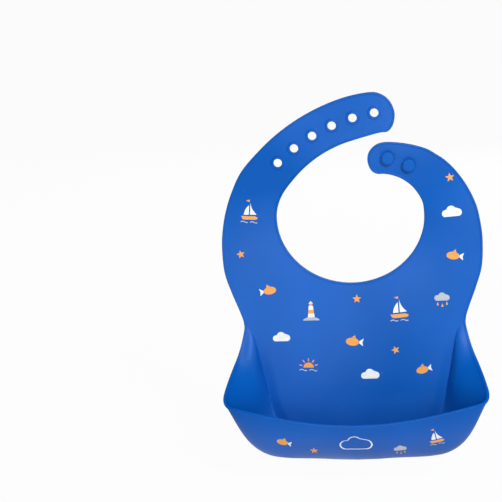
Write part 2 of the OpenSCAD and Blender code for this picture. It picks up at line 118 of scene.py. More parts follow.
class BibSizes(bpy.types.PropertyGroup):
    """The driving sizes of the bib"""

    sheet_t: length("Sheet thickness", "Thickness of the silicone sheet", 0.002)
    neck_w: length("Neck width", "Width of the neck opening", 0.1226)
    neck_drop: length("Neck drop", "Depth of the neck opening below its centre", 0.057)
    shoulder_w: length("Shoulder width", "Width across the shoulders", 0.2175)
    shoulder_drop: length("Shoulder drop", "Drop of the widest place below the centre", 0.025)
    strap_w: length("Hole strap width", "Width of the strap where the holes are", 0.0355)
    hole_arc_r: length("Hole row radius", "Radius of the arc that the holes follow", 0.148)
    hole_1_rise: length("Hole 1 rise", "Height of hole 1 above the centre", 0.0856)
    hole_1_x: length("Hole 1 offset", "Distance of hole 1 to the right of the centre", 0.0228)
    hole_pitch: length("Hole pitch", "Distance from hole to hole", 0.0183)
    hole_d: length("Hole diameter", "Diameter of a hole", 0.007)
    strap_end: length("Strap end", "Distance from hole 1 to the end of the strap", 0.0164)
    stud_strap_w: length("Stud strap width", "Width of the strap at its outer stud", 0.0305)
    stud_rise: length("Stud rise", "Height of the inner stud above the centre", 0.048)
    stud_x: length("Stud offset", "Distance of the inner stud to the right", 0.0327)
    stud_strap_end: length("Stud strap end", "Distance from the stud to the end", 0.0162)
    waist_w: length("Waist width", "Width at the waist, above the pocket", 0.1864)
    waist_drop: length("Waist drop", "Drop of the waist below the centre", 0.093)
    panel_drop: length("Panel drop", "Drop of the panel's lower end", 0.1975)
    mouth_w: length("Mouth width", "Width of the pocket's mouth", 0.22)
    lip_depth: length("Lip depth", "How far the lip stands in front of the panel", 0.051)
    lip_drop: length("Lip drop", "Drop of the middle of the lip below the centre", 0.166)
    floor_bow: length("Floor bow", "How far the pocket's floor bows down", 0.016)
    corner_bow: length("Corner bow", "How much further it bows out at the corners", 0.012)
    fold_out: length("Fold out", "How far the floor starts forward beside the corners", 0.012)
    wall_lean: length("Wall lean", "How far the front wall leans forward", 0.02)
    wall_rise: length("Wall rise", "Height over which the front wall rises", 0.049)


class BibColours(bpy.types.PropertyGroup):
    """The colours of the bib, linear"""

    silicone: colour("Silicone", "The blue silicone", (0.001, 0.102, 0.47))
    ink_orange: colour("Orange ink", "The orange of the prints", (0.88, 0.37, 0.075))
    ink_white: colour("White ink", "The white of the prints", (0.83, 0.86, 0.87))
    ink_grey: colour("Grey ink", "The light grey of the prints", (0.47, 0.52, 0.56))
    floor: colour("Floor", "The pale floor", (0.93, 0.93, 0.93))


# ---------------------------------------------------------------- curves, in millimetres


def mix(a, b, t):
    """From a at 0 to b at 1"""
    return a + (b - a) * t


def smooth(t):
    """A soft step from 0 to 1"""
    u = min(1.0, max(0.0, t))
    return u * u * (3 - 2 * u)


def ramp(s, window):
    """A soft step from 0 to 1 over a window: where it starts, and how long it is"""
    return smooth((s - window[0]) / window[1])


def on_curve(points, place, before=None):
    """A point on the smooth curve through points; place counts the points from 0.

    The point before, where it is given, sets the direction in which the curve starts.
    """
    last = len(points) - 1
    i = min(last - 1, max(0, math.floor(place)))
    t = place - i
    b, c = points[i], points[i + 1]
    a = points[i - 1] if i > 0 else before or 2 * b - c
    d = points[i + 2] if i < last - 1 else 2 * c - b
    return (2 * b + (c - a) * t + (2 * a - 5 * b + 4 * c - d) * t * t
            + (3 * b - a - 3 * c + d) * t**3) / 2


def evenly(points, start, stop, count):
    """Where count + 1 even steps along a line of points fall, from start to stop before its end:
    the number of the point before each, and the share of the way to the next"""
    run = [0.0]
    for a, b in zip(points, points[1:]):
        run.append(run[-1] + (b - a).length)
    found, k = [], 0
    for n in range(count + 1):
        want = mix(start, run[-1] - stop, n / count)
        while k < len(points) - 2 and run[k + 1] < want:
            k += 1
        share = (want - run[k]) / max(TINY, run[k + 1] - run[k])
        found.append((k, min(1.0, max(0.0, share))))
    return found


def by_length(points, start, stop, count):
    """count + 1 points evenly along a line of points"""
    return [points[k].lerp(points[k + 1], t) for k, t in evenly(points, start, stop, count)]


def spread(curve, first, last, count):
    """count + 1 places from first to last that lie equally far apart along the curve"""
    fine = [mix(first, last, k / SPREAD_STEPS) for k in range(SPREAD_STEPS + 1)]
    steps = evenly([curve(p) for p in fine], 0, 0, count)
    return [mix(fine[k], fine[k + 1], t) for k, t in steps]


def bezier(p, t):
    """A point on the cubic curve with four control points"""
    return (p[0] * (1 - t) ** 3 + p[1] * 3 * (1 - t) ** 2 * t
            + p[2] * 3 * (1 - t) * t * t + p[3] * t**3)


TINY = 1e-9
SPREAD_STEPS = 400
TANGENT_STEP = 0.02
HOLE_COUNT = len(HOLES)
HOLE_1_ANGLE = math.radians(98)
ROW_OFFSET = 0.5
STUD_ROW_ANGLE = math.radians(-20.5)
# Shares of half the neck's and half the shoulders' width at the straps' bending lines
FOLD_IN, FOLD_OUT = 0.9918, 0.95862
# The neck's points: the first one's angle in degrees, the step to the next, and their number
NECK_FROM, NECK_STEP, NECK_POINTS = 188, 41 / 3, 13
# Shares of the way out from waist to shoulder, and up to the bending lines or the shoulder
WAIST_ROUND, BELLY_OUT = (0.06, 0.4), 0.25
SIDE_SHAPE = ((0.617, 0.45), (0.932, 0.7))
ABOVE_SHOULDER = (0.989, 0.48)
# Shares of the way in from the side to the neck, and up from the shoulders' bending lines
HOLE_OVER, HOLE_UNDER = ((0.138, 0.42), (0.359, 0.864)), ((1.115, 0.333),)
STUD_UNDER = ((1.0575, 0.1905), (1.2071, 0.4143))
STUD_OVER = ((0.5719, 0.9167), (0.3636, 0.6905), (0.1565, 0.369))
# The holes along the hole strap's inner edge, with the share of its width that the edge lies in
HOLE_IN_SHAPE = ((2, 0.02), (3, 0.006), (4, 0.003), (5, 0.017), (6, 0.048))
# Shares of a strap's end and of half its width round the ends, and along the stud strap's edges
HOLE_TIP_SHAPE = ((-0.061, 0.978), (0.512, 0.784), (0.866, 0.395), (1, -0.13), (0.878, -0.6),
                  (0.66, -0.88), (0.43, -0.985), (0.05, -0.965))
STUD_TIP_SHAPE = ((0.086, -0.918), (-0.198, -1.023), (-0.481, -1.01), (-0.747, -0.813),
                  (-0.963, -0.433), (-1, -0.013), (-0.809, 0.433), (-0.438, 0.734))
STUD_OUT_SHAPE = ((0.12, 0.931), (0.601, 1.049), (1.126, 1.118), (1.585, 1.115),
                  (1.967, 1.016))
STUD_IN_SHAPE = ((0.902, -0.869), (0.437, -0.846))


class Outline:
    """The bib's open edge as one smooth curve, in the panel's plane: x to the right, y up.

    It runs from the left waist up the side, round the hole strap, the neck and the stud strap
    and down to the right waist.
    """

    def __init__(self, sizes):
        for name in BibSizes.__annotations__:
            setattr(self, name, getattr(sizes, name) / MM)
        self.hole_edge_r = self.hole_d / 2 + HOLE_RIM_W
        self.hole_step = 2 * math.asin(self.hole_pitch / 2 / self.hole_arc_r)
        self.centre = Vector((self.hole_1_x, self.hole_1_rise)) - self.hole_arc_r * Vector(
            (math.cos(HOLE_1_ANGLE), math.sin(HOLE_1_ANGLE)))
        outer_r = self.hole_arc_r + ROW_OFFSET + self.strap_w / 2
        inner_r = self.hole_arc_r + ROW_OFFSET - self.strap_w / 2
        nw, sw, ww = self.neck_w / 2, self.shoulder_w / 2, self.waist_w / 2
        fold_z = JOINTS["hole_strap_fold"]["pos_m"][2] / MM
        belly_z = JOINTS["belly_fold"]["pos_m"][2] / MM
        in_x, out_x = FOLD_IN * nw, FOLD_OUT * sw
        hole_rise = self.hole(HOLE_COUNT).y - fold_z
        stud_rise = self.stud_rise - fold_z

        def over(shape, rise, side=1):
            return [(side * mix(out_x, in_x, a), fold_z + b * rise) for a, b in shape]

        side = [(ww, -self.waist_drop), (mix(ww, sw, WAIST_ROUND[0]),
                                         mix(-self.waist_drop, belly_z, WAIST_ROUND[1])),
                (mix(ww, sw, BELLY_OUT), belly_z)]
        side += [(mix(ww, sw, a), -mix(self.waist_drop, self.shoulder_drop, b))
                 for a, b in SIDE_SHAPE]
        side += [(sw, -self.shoulder_drop),
                 (ABOVE_SHOULDER[0] * sw, -mix(self.shoulder_drop, -fold_z, ABOVE_SHOULDER[1])),
                 (out_x, fold_z)]
        hole_out = over(HOLE_OVER, hole_rise, -1)
        hole_out += [self.polar(outer_r, k) for k in range(HOLE_COUNT, 1, -1)]
        hole_tip = [self.by_hole_1(a * self.strap_end, b * self.strap_w / 2)
                    for a, b in HOLE_TIP_SHAPE]
        hole_in = [self.polar(inner_r - dip * self.strap_w, k) for k, dip in HOLE_IN_SHAPE]
        hole_in += over(HOLE_UNDER, hole_rise, -1)
        neck = [(-in_x, fold_z)]
        neck += [self.neck_at(NECK_FROM + NECK_STEP * k) for k in range(NECK_POINTS)]
        neck += [(in_x, fold_z)]
        half, pitch = self.stud_strap_w / 2, self.hole_pitch
        stud_in = over(STUD_UNDER, stud_rise)
        stud_in += [self.by_stud(a * pitch, b * half) for a, b in STUD_IN_SHAPE]
        stud_tip = [self.by_stud(a * self.stud_strap_end, b * half) for a, b in STUD_TIP_SHAPE]
        stud_out = [self.by_stud(a * pitch, b * half) for a, b in STUD_OUT_SHAPE]
        stud_out += over(STUD_OVER, stud_rise)
        left = [(-x, z) for x, z in side]
        runs = [left, hole_out, hole_tip, hole_in, neck, stud_in, stud_tip, stud_out, side[::-1]]
        self.starts = [sum(len(r) for r in runs[:n]) for n in range(len(runs))]
        self.points = [Vector(q) for run in runs for q in run]

    def polar(self, radius, k):
        """A point at that radius, in line with hole k"""
        angle = HOLE_1_ANGLE + (k - 1) * self.hole_step
        return self.centre + radius * Vector((math.cos(angle), math.sin(angle)))

    def hole(self, k):
        """The middle of hole k"""
        return self.polar(self.hole_arc_r, k)

    def by_hole_1(self, along, out):
        """A place beside hole 1: along the strap towards its end, and outwards"""
        c, s = math.cos(HOLE_1_ANGLE), math.sin(HOLE_1_ANGLE)
        return self.hole(1) + Vector((along * s + out * c, out * s - along * c))

    def by_stud(self, along, out):
        """A place beside the inner stud: along the row of studs, and outwards"""
        c, s = math.cos(STUD_ROW_ANGLE), math.sin(STUD_ROW_ANGLE)
        return Vector((self.stud_x + along * c - out * s, self.stud_rise + along * s + out * c))

    def neck_at(self, degrees):
        """A point of the neck's half oval"""
        a = math.radians(degrees)
        return Vector((self.neck_w / 2 * math.cos(a), self.neck_drop * math.sin(a)))

    def outer_place(self, k):
        """The place on the outer edge in line with hole k"""
        return self.starts[1] + 2 + HOLE_COUNT - k

    def inner_place(self, k):
        """The place on the inner edge in line with hole k"""
        return self.starts[3] + k - 2

    def inward(self, place):
        """The direction from the edge into the sheet"""
        last = len(self.points) - 1
        t = (on_curve(self.points, min(last, place + TANGENT_STEP))
             - on_curve(self.points, max(0, place - TANGENT_STEP))).normalized()
        return Vector((t.y, -t.x))

    def inset(self, place):
        """The edge of the flat sheet, where the rim begins"""
        return on_curve(self.points, place) + self.inward(place) * RIM_W

    def across(self, place_in, place_out, share):
        """A line across the sheet that meets both edges squarely"""
        a, b = self.inset(place_in), self.inset(place_out)
        reach = (b - a).length / 3
        return bezier((a, a + self.inward(place_in) * reach, b + self.inward(place_out) * reach,
                       b), share)


# ---------------------------------------------------------------- the moulded sheet


# The rim's profiles: steps outwards from the flat sheet's edge, and heights above the sheet's
# middle, from the front round to the back. All have the same number of steps.
RIM_W = 2.6
LIP_RIM_W = 3.6
HOLE_RIM_W = 2.5
RIM_PROFILE = (
    (0.35, 1.0), (0.6, 1.02), (0.8, 1.12), (1.0, 1.3), (1.25, 1.45), (1.55, 1.52), (1.85, 1.5),
    (2.15, 1.36), (2.4, 1.06), (2.55, 0.68), (2.6, 0.22), (2.58, -0.28), (2.47, -0.66),
    (2.25, -0.88), (1.9, -1.0), (1.0, -1.0))
LIP_PROFILE = (
    (0.35, 1.0), (0.65, 1.03), (0.95, 1.13), (1.3, 1.28), (1.75, 1.38), (2.25, 1.4), (2.75, 1.32),
    (3.2, 1.06), (3.5, 0.62), (3.6, 0.0), (3.5, -0.62), (3.2, -1.06), (2.75, -1.32),
    (2.0, -1.38), (1.3, -1.24), (0.75, -1.06))
HOLE_PROFILE = (
    (0.3, 1.02), (0.5, 1.14), (0.62, 1.4), (0.76, 1.66), (0.96, 1.8), (1.35, 1.85), (1.9, 1.82),
    (2.2, 1.72), (2.4, 1.5), (2.5, 1.14), (2.5, 0.4), (2.5, -0.4), (2.44, -0.74),
    (2.25, -0.93), (1.9, -1.0), (1.0, -1.0))
PROFILE_STEPS = len(RIM_PROFILE)
MERGE = 1e-4
BROAD_WAVE, SLANT_WAVE, FINE_WAVE = 0.5, 0.3, 0.16


def wave(x, z):
    """How far the soft sheet waves forward or back at a place of the panel's plane"""
    return (BROAD_WAVE * math.sin(x / 37 + 0.7) * math.sin(z / 43 + 1.2)
            + SLANT_WAVE * math.sin((x + 1.4 * z) / 52 + 2.1) + FINE_WAVE * math.sin((x - z) / 23))


def in_room(p):
    """A point of the panel's plane, placed in the room on the sheet's middle"""
    return Vector((p.x, wave(p.x, p.y), p.y))


def new_sheet():
    """An empty mesh with the layers that the rim reads"""
    bm = bmesh.new()
    for name in ("rim", "lip", "hole"):
        bm.verts.layers.float.new(name)
    bm.verts.layers.int.new("id")
    return bm


def lay_grid(bm, columns, rows, place):
    """A grid whose vertex at column i and row j goes to place(i, j)"""
    made = bmesh.ops.create_grid(bm, x_segments=columns, y_segments=rows, size=0.5)["verts"]
    grid = {}
    for v in made:
        i, j = round((v.co.x + 0.5) * columns), round((v.co.y + 0.5) * rows)
        grid[i, j] = v
        v.co = place(i, j)
    return grid


def mark(bm, verts, *names):
    """Puts the vertices on the rim's layers of those names"""
    for name in names:
        layer = bm.verts.layers.float[name]
        for v in verts:
            v[layer] = 1


def cut_hole(bm, grid, column, middle, radius):
    """Opens a patch of the grid and joins it to a round hole's edge"""
    patch = {grid[column + i, HOLE_ROWS_IN + j]
             for i in range(-HOLE_HALF_COLUMNS, HOLE_HALF_COLUMNS + 1)
             for j in range(-HOLE_HALF_ROWS, HOLE_HALF_ROWS + 1)}
    inside = [f for f in bm.faces if patch.issuperset(f.verts)]
    faces = set(inside)
    edge = [e for e in bm.edges if sum(f in faces for f in e.link_faces) == 1]
    loop = 4 * (HOLE_HALF_COLUMNS + HOLE_HALF_ROWS)
    bmesh.ops.delete(bm, geom=inside, context="FACES")
    ring = bmesh.ops.create_circle(bm, segments=loop, radius=radius, cap_ends=False)["verts"]
    for v in ring:
        v.co = in_room(Vector((middle.x + v.co.x, middle.y + v.co.y)))
    mark(bm, ring, "rim", "hole")
    ring_verts = set(ring)
    ring_edges = [e for e in bm.edges if ring_verts.issuperset(e.verts)]
    bmesh.ops.bridge_loops(bm, edges=[e for e in edge if e.is_valid] + ring_edges)


def outwards(v, rim_edges, corner_edges):
    """The direction from a vertex of the sheet's edge outwards, in the sheet"""
    if corner_edges:
        d = v.co - corner_edges[0].other_vert(v).co
    else:
        d = Vector()
        for e in rim_edges:
            face = e.link_faces[0]
            side = face.normal.cross(e.verts[1].co - e.verts[0].co).normalized()
            middle = (e.verts[0].co + e.verts[1].co) / 2
            d += side if side.dot(middle - face.calc_center_median()) > 0 else -side
    d -= v.normal * d.dot(v.normal)
    return d.normalized()


def only(kind, geom):
    """The elements of one kind among what a mesh operation made"""
    return [g for g in geom if isinstance(g, kind)]


def mould(bm, half_t):
    """Turns a sheet's middle into a closed moulding with its rims, and caps where it is parted"""
    bmesh.ops.remove_doubles(bm, verts=bm.verts, dist=MERGE)
    bmesh.ops.dissolve_degenerate(bm, edges=bm.edges, dist=MERGE)
    rim, lip = bm.verts.layers.float["rim"], bm.verts.layers.float["lip"]
    hole, number = bm.verts.layers.float["hole"], bm.verts.layers.int["id"]
    bmesh.ops.recalc_face_normals(bm, faces=bm.faces)
    top = max(bm.faces, key=lambda f: f.calc_center_median().z)
    if top.normal.y > 0:
        bmesh.ops.reverse_faces(bm, faces=bm.faces)
    bm.normal_update()
    bm.verts.index_update()
    facts = []
    for v in bm.verts:
        v[number] = v.index
        edges = [e for e in v.link_edges if e.is_boundary]
        rims = [e for e in edges if all(q[rim] > 0 for q in e.verts)]
        corner = [e for e in edges if e not in rims]
        out = outwards(v, rims, corner) if v[rim] > 0 else None
        facts.append((v.co.copy(), v.normal.copy(), out, v[lip], v[hole]))
    row = [e for e in bm.edges if e.is_boundary and all(v[rim] > 0 for v in e.verts)]
    front = list(bm.faces)
    back = bmesh.ops.duplicate(bm, geom=list(bm.verts) + list(bm.edges) + front)["geom"]
    back_verts = only(bmesh.types.BMVert, back)
    bmesh.ops.reverse_faces(bm, faces=only(bmesh.types.BMFace, back))
    behind = set(back_verts)
    for v in bm.verts:
        middle, normal = facts[v[number]][:2]
        v.co = middle + normal * (-half_t if v in behind else half_t)
    for k in range(PROFILE_STEPS + 1):
        made = bmesh.ops.extrude_edge_only(bm, edges=row)["geom"]
        verts = only(bmesh.types.BMVert, made)
        fresh = set(verts)
        row = [e for e in only(bmesh.types.BMEdge, made) if set(e.verts) <= fresh]
        for v in verts:
            middle, normal, out, at_lip, at_hole = facts[v[number]]
            if k == PROFILE_STEPS:
                d, h = 0.0, -half_t
            else:
                at_edge = Vector(RIM_PROFILE[k]).lerp(Vector(LIP_PROFILE[k]), at_lip)
                d, h = at_edge.lerp(Vector(HOLE_PROFILE[k]), at_hole)
            v.co = middle + out * d + normal * h
    last = [v for v in back_verts if v[rim] > 0] + verts
    bmesh.ops.remove_doubles(bm, verts=last, dist=MERGE)
    open_edges = [e for e in bm.edges if e.is_boundary]
    caps = bmesh.ops.holes_fill(bm, edges=open_edges, sides=0)["faces"]
    for f in bm.faces:
        f.smooth = True
    for f in caps:
        f.smooth = False
        for e in f.edges:
            e.smooth = False
    bmesh.ops.triangulate(bm, faces=caps)
    bmesh.ops.recalc_face_normals(bm, faces=bm.faces)
    return bm


def make_object(name, bm, slot):
    """Writes a mesh made in millimetres as an object in metres, with its slot's finish"""
    bmesh.ops.scale(bm, vec=Vector((MM, MM, MM)), verts=bm.verts)
    mesh = bpy.data.meshes.new(name)
    bm.to_mesh(mesh)
    bm.free()
    mesh.materials.append(finish_of(slot))
    piece = bpy.data.objects.new(name, mesh)
    bpy.context.scene.collection.objects.link(piece)
    return piece


# ---------------------------------------------------------------- finishes


def node_tree(name):
    """A new material with its shader"""
    material = bpy.data.materials.new(name)
    material.use_nodes = True
    return material, material.node_tree, material.node_tree.nodes["Principled BSDF"]


def feed(tree, node, inputs):
    """Links an input where its value comes from another node, and sets it otherwise"""
    for name, value in inputs.items():
        if isinstance(value, bpy.types.NodeSocket):
            tree.links.new(value, node.inputs[name])
        else:
            node.inputs[name].default_value = value


def add_node(tree, kind, inputs, **settings):
    """A new shader node with its settings and inputs; gives its outputs"""
    node = tree.nodes.new("ShaderNode" + kind)
    for name, value in settings.items():
        setattr(node, name, value)
    feed(tree, node, inputs)
    return node.outputs


def on_object(tree):
    """The place on the object, in metres"""
    return add_node(tree, "TexCoord", {})["Object"]


def noise(tree, scale, detail=2):
    """A noise texture in object coordinates"""
    inputs = {"Vector": on_object(tree), "Scale": scale, "Detail": detail}
    return add_node(tree, "TexNoise", inputs)["Fac"]


def to_range(tree, value, low, high, start=0.3, stop=0.7):
    """Maps a noise's middle range to low to high"""
    inputs = {"Value": value, "From Min": start, "From Max": stop, "To Min": low, "To Max": high}
    return add_node(tree, "MapRange", inputs)["Result"]


def tinted(tree, share, first, second):
    """A colour between two, by share"""
    inputs = {"Factor": share, "A": first, "B": second}
    return add_node(tree, "Mix", inputs, data_type="RGBA")["Result"]


def combined(tree, operation, first, second):
    """Two values joined by a sum, a product or a maximum"""
    return add_node(tree, "Math", {0: first, 1: second}, operation=operation)["Value"]


def bump(tree, height, distance, **under):
    """A bump of that depth, in metres, over another that is given as Normal"""
    return add_node(tree, "Bump", {"Height": height, "Distance": distance, **under})["Normal"]


# The silicone: noise scales to the metre, and the levels that they run between
CLOUD_SCALE, CLOUD_TINTS = 9, (0.84, 1.08)
BLOOM_SCALE, BLOOM_LEVELS, BLOOM_WINDOW = 7, (0.1, 0.4), (0.38, 0.6)
# How much of the bloom is left inside the pocket, as painted shade, and how much more gloss the pocket's low
# part has, as a painted sheen
PAINTED_SHADE_BLOOM, PAINTED_SHADE_Y = 0.12, (-0.012, -0.003)
PAINTED_SHEEN_BLOOM, PAINTED_SHEEN_Z = 0.42, (-0.182, -0.15)
DUST_SCALE, DUST_SHARE, DUST_WINDOW = 48, 0.34, (0.016, 0.03)
DUST_TINT = (0.35, 0.5, 0.75)
GLOSS_SCALE, GLOSS_ROUGH = 24, (0.38, 0.52)
SILICONE_IOR = 1.41
SKIN_SCALE, SKIN_DEPTH = 2200, 0.00003
GRAIN_SCALE, GRAIN_DEPTH = 90, 0.00012
# The inks
INK_TINT_SCALE, INK_TINTS = 260, (0.94, 1.04)
INK_GLOSS_SCALE, INK_ROUGH, INK_SPECULAR = 400, (0.5, 0.62), 0.35
INK_GRAIN_SCALE, INK_GRAIN_DEPTH = 1800, 0.00004


def silicone_material(name, base):
    """Satin moulded silicone: cloudy colour, uneven gloss with painted shade inside the pocket and a painted
    sheen low on it, fine skin and a few specks of dust
    """
    material, tree, shader = node_tree(name)
    cloud = to_range(tree, noise(tree, CLOUD_SCALE), 0, 1)
    body = tinted(tree, cloud, *((*(base * share), 1) for share in CLOUD_TINTS))
    bloom = to_range(tree, noise(tree, BLOOM_SCALE, 1), *BLOOM_LEVELS, *BLOOM_WINDOW)
    place = add_node(tree, "SeparateXYZ", {"Vector": on_object(tree)})
    # Painted shade: most of the gloss is taken off the sheet that stands in front of the panel, inside the
    # pocket
    inside = to_range(tree, place["Y"], PAINTED_SHADE_BLOOM, 1, *PAINTED_SHADE_Y)
    # Painted sheen: the gloss grows towards the bottom of the pocket, which lightens its haze there
    painted_sheen = to_range(tree, place["Z"], PAINTED_SHEEN_BLOOM, 0, *PAINTED_SHEEN_Z)
    dust = add_node(tree, "TexVoronoi", {"Vector": on_object(tree), "Scale": DUST_SCALE})
    speck = to_range(tree, dust["Distance"], DUST_SHARE, 0, *DUST_WINDOW)
    skin = bump(tree, noise(tree, SKIN_SCALE), SKIN_DEPTH)
    feed(tree, shader, {
        "Base Color": tinted(tree, speck, body, (*DUST_TINT, 1)),
        "Roughness": to_range(tree, noise(tree, GLOSS_SCALE, 4), *GLOSS_ROUGH),
        "Specular IOR Level": combined(
            tree, "ADD", combined(tree, "MULTIPLY", bloom, inside), painted_sheen),
        "IOR": SILICONE_IOR,
        "Normal": bump(tree, noise(tree, GRAIN_SCALE), GRAIN_DEPTH, Normal=skin),
    })
    return material


def ink_material(name, base):
    """Matte silicone ink, a little uneven"""
    material, tree, shader = node_tree(name)
    cloud = to_range(tree, noise(tree, INK_TINT_SCALE, 3), 0, 1)
    feed(tree, shader, {
        "Base Color": tinted(tree, cloud, *((*(base * share), 1) for share in INK_TINTS)),
        "Roughness": to_range(tree, noise(tree, INK_GLOSS_SCALE), *INK_ROUGH),
        "Specular IOR Level": INK_SPECULAR,
        "Normal": bump(tree, noise(tree, INK_GRAIN_SCALE), INK_GRAIN_DEPTH),
    })
    return material


def finish_of(slot):
    """The material of a slot, made when it is first needed"""
    name, make = (slot, ink_material) if "ink" in slot else ("blue_" + slot, silicone_material)
    colours = bpy.context.scene.bib_colours
    return bpy.data.materials.get(name) or make(name, Vector(getattr(colours, slot)))


# ---------------------------------------------------------------- the front sheet and pocket


# Shares of the waist's width and the panel's height along the line where panel and pocket meet
CREASE_SHAPE = ((1, 0), (0.93, 0.105), (0.89, 0.234), (0.866, 0.359), (0.839, 0.488),
                (0.812, 0.612), (0.774, 0.737), (0.708, 0.852), (0.6, 0.93), (0.43, 0.977),
                (0.215, 0.996), (0, 1))
# Shares of the waist's width, the mouth's width, the lip's depth and its drop along the lip
LIP_SHAPE = ((1, 0, 0, 0), (0.875, 0.125, 0.05, 0.16), (0.66, 0.34, 0.157, 0.32),
             (0.375, 0.625, 0.31, 0.48), (0.13, 0.87, 0.49, 0.625), (0, 1, 0.63, 0.735),
             (0, 0.965, 0.725, 0.81), (0, 0.87, 0.81, 0.838), (0, 0.68, 0.9, 0.889),
             (0, 0.465, 0.96, 0.943), (0, 0.23, 0.99, 0.985), (0, 0, 1, 1))
HALF_WAY = len(CREASE_SHAPE) - 1
SHOULDER_SHARE = 0.19
# Places of the shoulders' seams, left and right, along the neck and along the sides
NECK_SEAMS, SIDE_SEAMS = (1.5, 12.5), (5.33, 1.67)
# How finely the sheets are divided
NECK_COLUMNS, STUD_ROWS = 128, 18
HOLE_ROWS_IN, HOLE_ROWS_OUT = 10, 12
PANEL_ROWS, FILLET_ROWS, POCKET_ROWS, SECTION_FINE = 64, 6, 30, 90
# The fillet round the crease, and the largest share of the sheet beside it that it may take
CREASE_FILLET, FILLET_SHARE = 2.2, 0.4
# How far the gusset stands out, and a small step along the crease, in stations
GUSSET_OUT, NEAR = 10, 0.3
# Stations from the waist over which each feature of the section grows or fades
WAIST_DRAWN, LIP_GROWS, SECTION_GROWS, FLOOR_GROWS = (0, 2), (0, 3), (0, 2.5), (4, 4)
CORNER_GROWS, CORNER_FADES = (3, 2), (7, 3)
FOLD_GROWS, FOLD_FADES = (3, 1.5), (6.5, 3)
# Shares of the way from crease to lip at which the gusset's control points stand
GUSSET_SHARES = (0.12, 0.62)
# The groove beside the gussets: its depth, its reach, where it starts, and its last station
GROOVE, GROOVE_REACH = 2.0, 11.0
GROOVE_FROM_X, GROOVE_LAST, GROOVE_FINE = 45.0, 9, 8
GROOVE_GROWS, GROOVE_FADES = (1, 2.5), (6.5, 2)


def from_waist(s):
    """How many stations s lies from the nearer end of the crease, at the waist"""
    return min(s, 2 * HALF_WAY - s)


def on_side(p, s):
    """A point of the right half, moved to the side on which station s lies"""
    return Vector((-p.x, p.y, p.z)) if s > HALF_WAY else p


class Pocket:
    """The pocket's sheet: its crease, its lip and the curved section between them"""

    def __init__(self, outline):
        o = self.o = outline
        self.crease = [Vector((a * o.waist_w / 2, 0, -mix(o.waist_drop, o.panel_drop, b)))
                       for a, b in CREASE_SHAPE]
        self.lip = [Vector(((a * o.waist_w + b * o.mouth_w) / 2, -c * o.lip_depth,
                            -mix(o.waist_drop, o.lip_drop, d))) for a, b, c, d in LIP_SHAPE]
        low = self.lip[1]
        self.lip_before = Vector((low.x, -low.y, 2 * self.lip[0].z - low.z))
        start = o.inset(len(o.points) - 1)
        self.shift = Vector((start.x, 0, start.y)) - self.crease[0]
        self.fold = [(k / GROOVE_FINE, self.crease_at(k / GROOVE_FINE))
                     for k in range(GROOVE_FINE * GROOVE_LAST + 1)]

    def crease_at(self, s):
        """The crease, drawn in beside the waist, where the rim needs the room"""
        q = from_waist(s)
        return on_side(on_curve(self.crease, q) + self.shift * (1 - ramp(q, WAIST_DRAWN)), s)

    def section(self, s):
        """The four control points of the section at station s, from the panel to the lip"""
        o = self.o
        q = from_waist(s)
        c, lip = self.crease_at(q), on_curve(self.lip, q, self.lip_before)
        ahead = on_curve(self.crease, min(HALF_WAY, q + NEAR))
        t = (ahead - on_curve(self.crease, max(0, q - NEAR))).normalized()
        normal = Vector((-t.z, 0, t.x))
        floor_like, grown = ramp(q, FLOOR_GROWS), ramp(q, SECTION_GROWS)
        corner = ramp(q, CORNER_GROWS) * (1 - ramp(q, CORNER_FADES))
        folded = ramp(q, FOLD_GROWS) * (1 - ramp(q, FOLD_FADES))
        side_1 = c.lerp(lip, GUSSET_SHARES[0]) + Vector((0, -GUSSET_OUT * grown, 0))
        side_2 = c.lerp(lip, GUSSET_SHARES[1]) + Vector((0, -grown, 0))
        floor_1 = c + normal * (o.floor_bow * grown + o.corner_bow * corner)
        floor_1.y -= o.fold_out * folded
        floor_2 = lip + Vector((0, o.wall_lean, -o.wall_rise - o.corner_bow / 2 * corner))
        found = [c, side_1.lerp(floor_1, floor_like), side_2.lerp(floor_2, floor_like), lip]
        return [on_side(p, s) for p in found]

    def groove(self, p):
        """How far the sheet lies back beside the fold between panel and gusset"""
        if abs(p.x) < GROOVE_FROM_X or p.z > -self.o.waist_drop:
            return 0.0
        p = Vector((abs(p.x), p.y, p.z))
        near, s = min(((p - at).length, s) for s, at in self.fold)
        depth = GROOVE * ramp(s, GROOVE_GROWS) * (1 - ramp(s, GROOVE_FADES))
        return depth * (1 - smooth(near / GROOVE_REACH))


def seam_shares(count_in, count_out, middle):
    """Shares across a strap: count_in rows up to middle and count_out rows past it"""
    return ([middle * j / count_in for j in range(count_in)]
            + [mix(middle, 1, j / count_out) for j in range(count_out + 1)])


def hole_shares(o):
    """Shares across the hole strap, with a row through the holes"""
    inner = o.hole_arc_r + ROW_OFFSET - o.strap_w / 2 + RIM_W
    return seam_shares(HOLE_ROWS_IN, HOLE_ROWS_OUT,
                       (o.hole_arc_r - inner) / (o.strap_w - 2 * RIM_W))


def stud_shares():
    """Shares across the stud strap"""
    return [j / STUD_ROWS for j in range(STUD_ROWS + 1)]


def shoulder_seams(o):
    """Inner and outer places of the seams on the left and right shoulder"""
    neck, side_r = o.starts[4], o.starts[8]
    return (neck + NECK_SEAMS[0], SIDE_SEAMS[0]), (neck + NECK_SEAMS[1], side_r + SIDE_SEAMS[1])


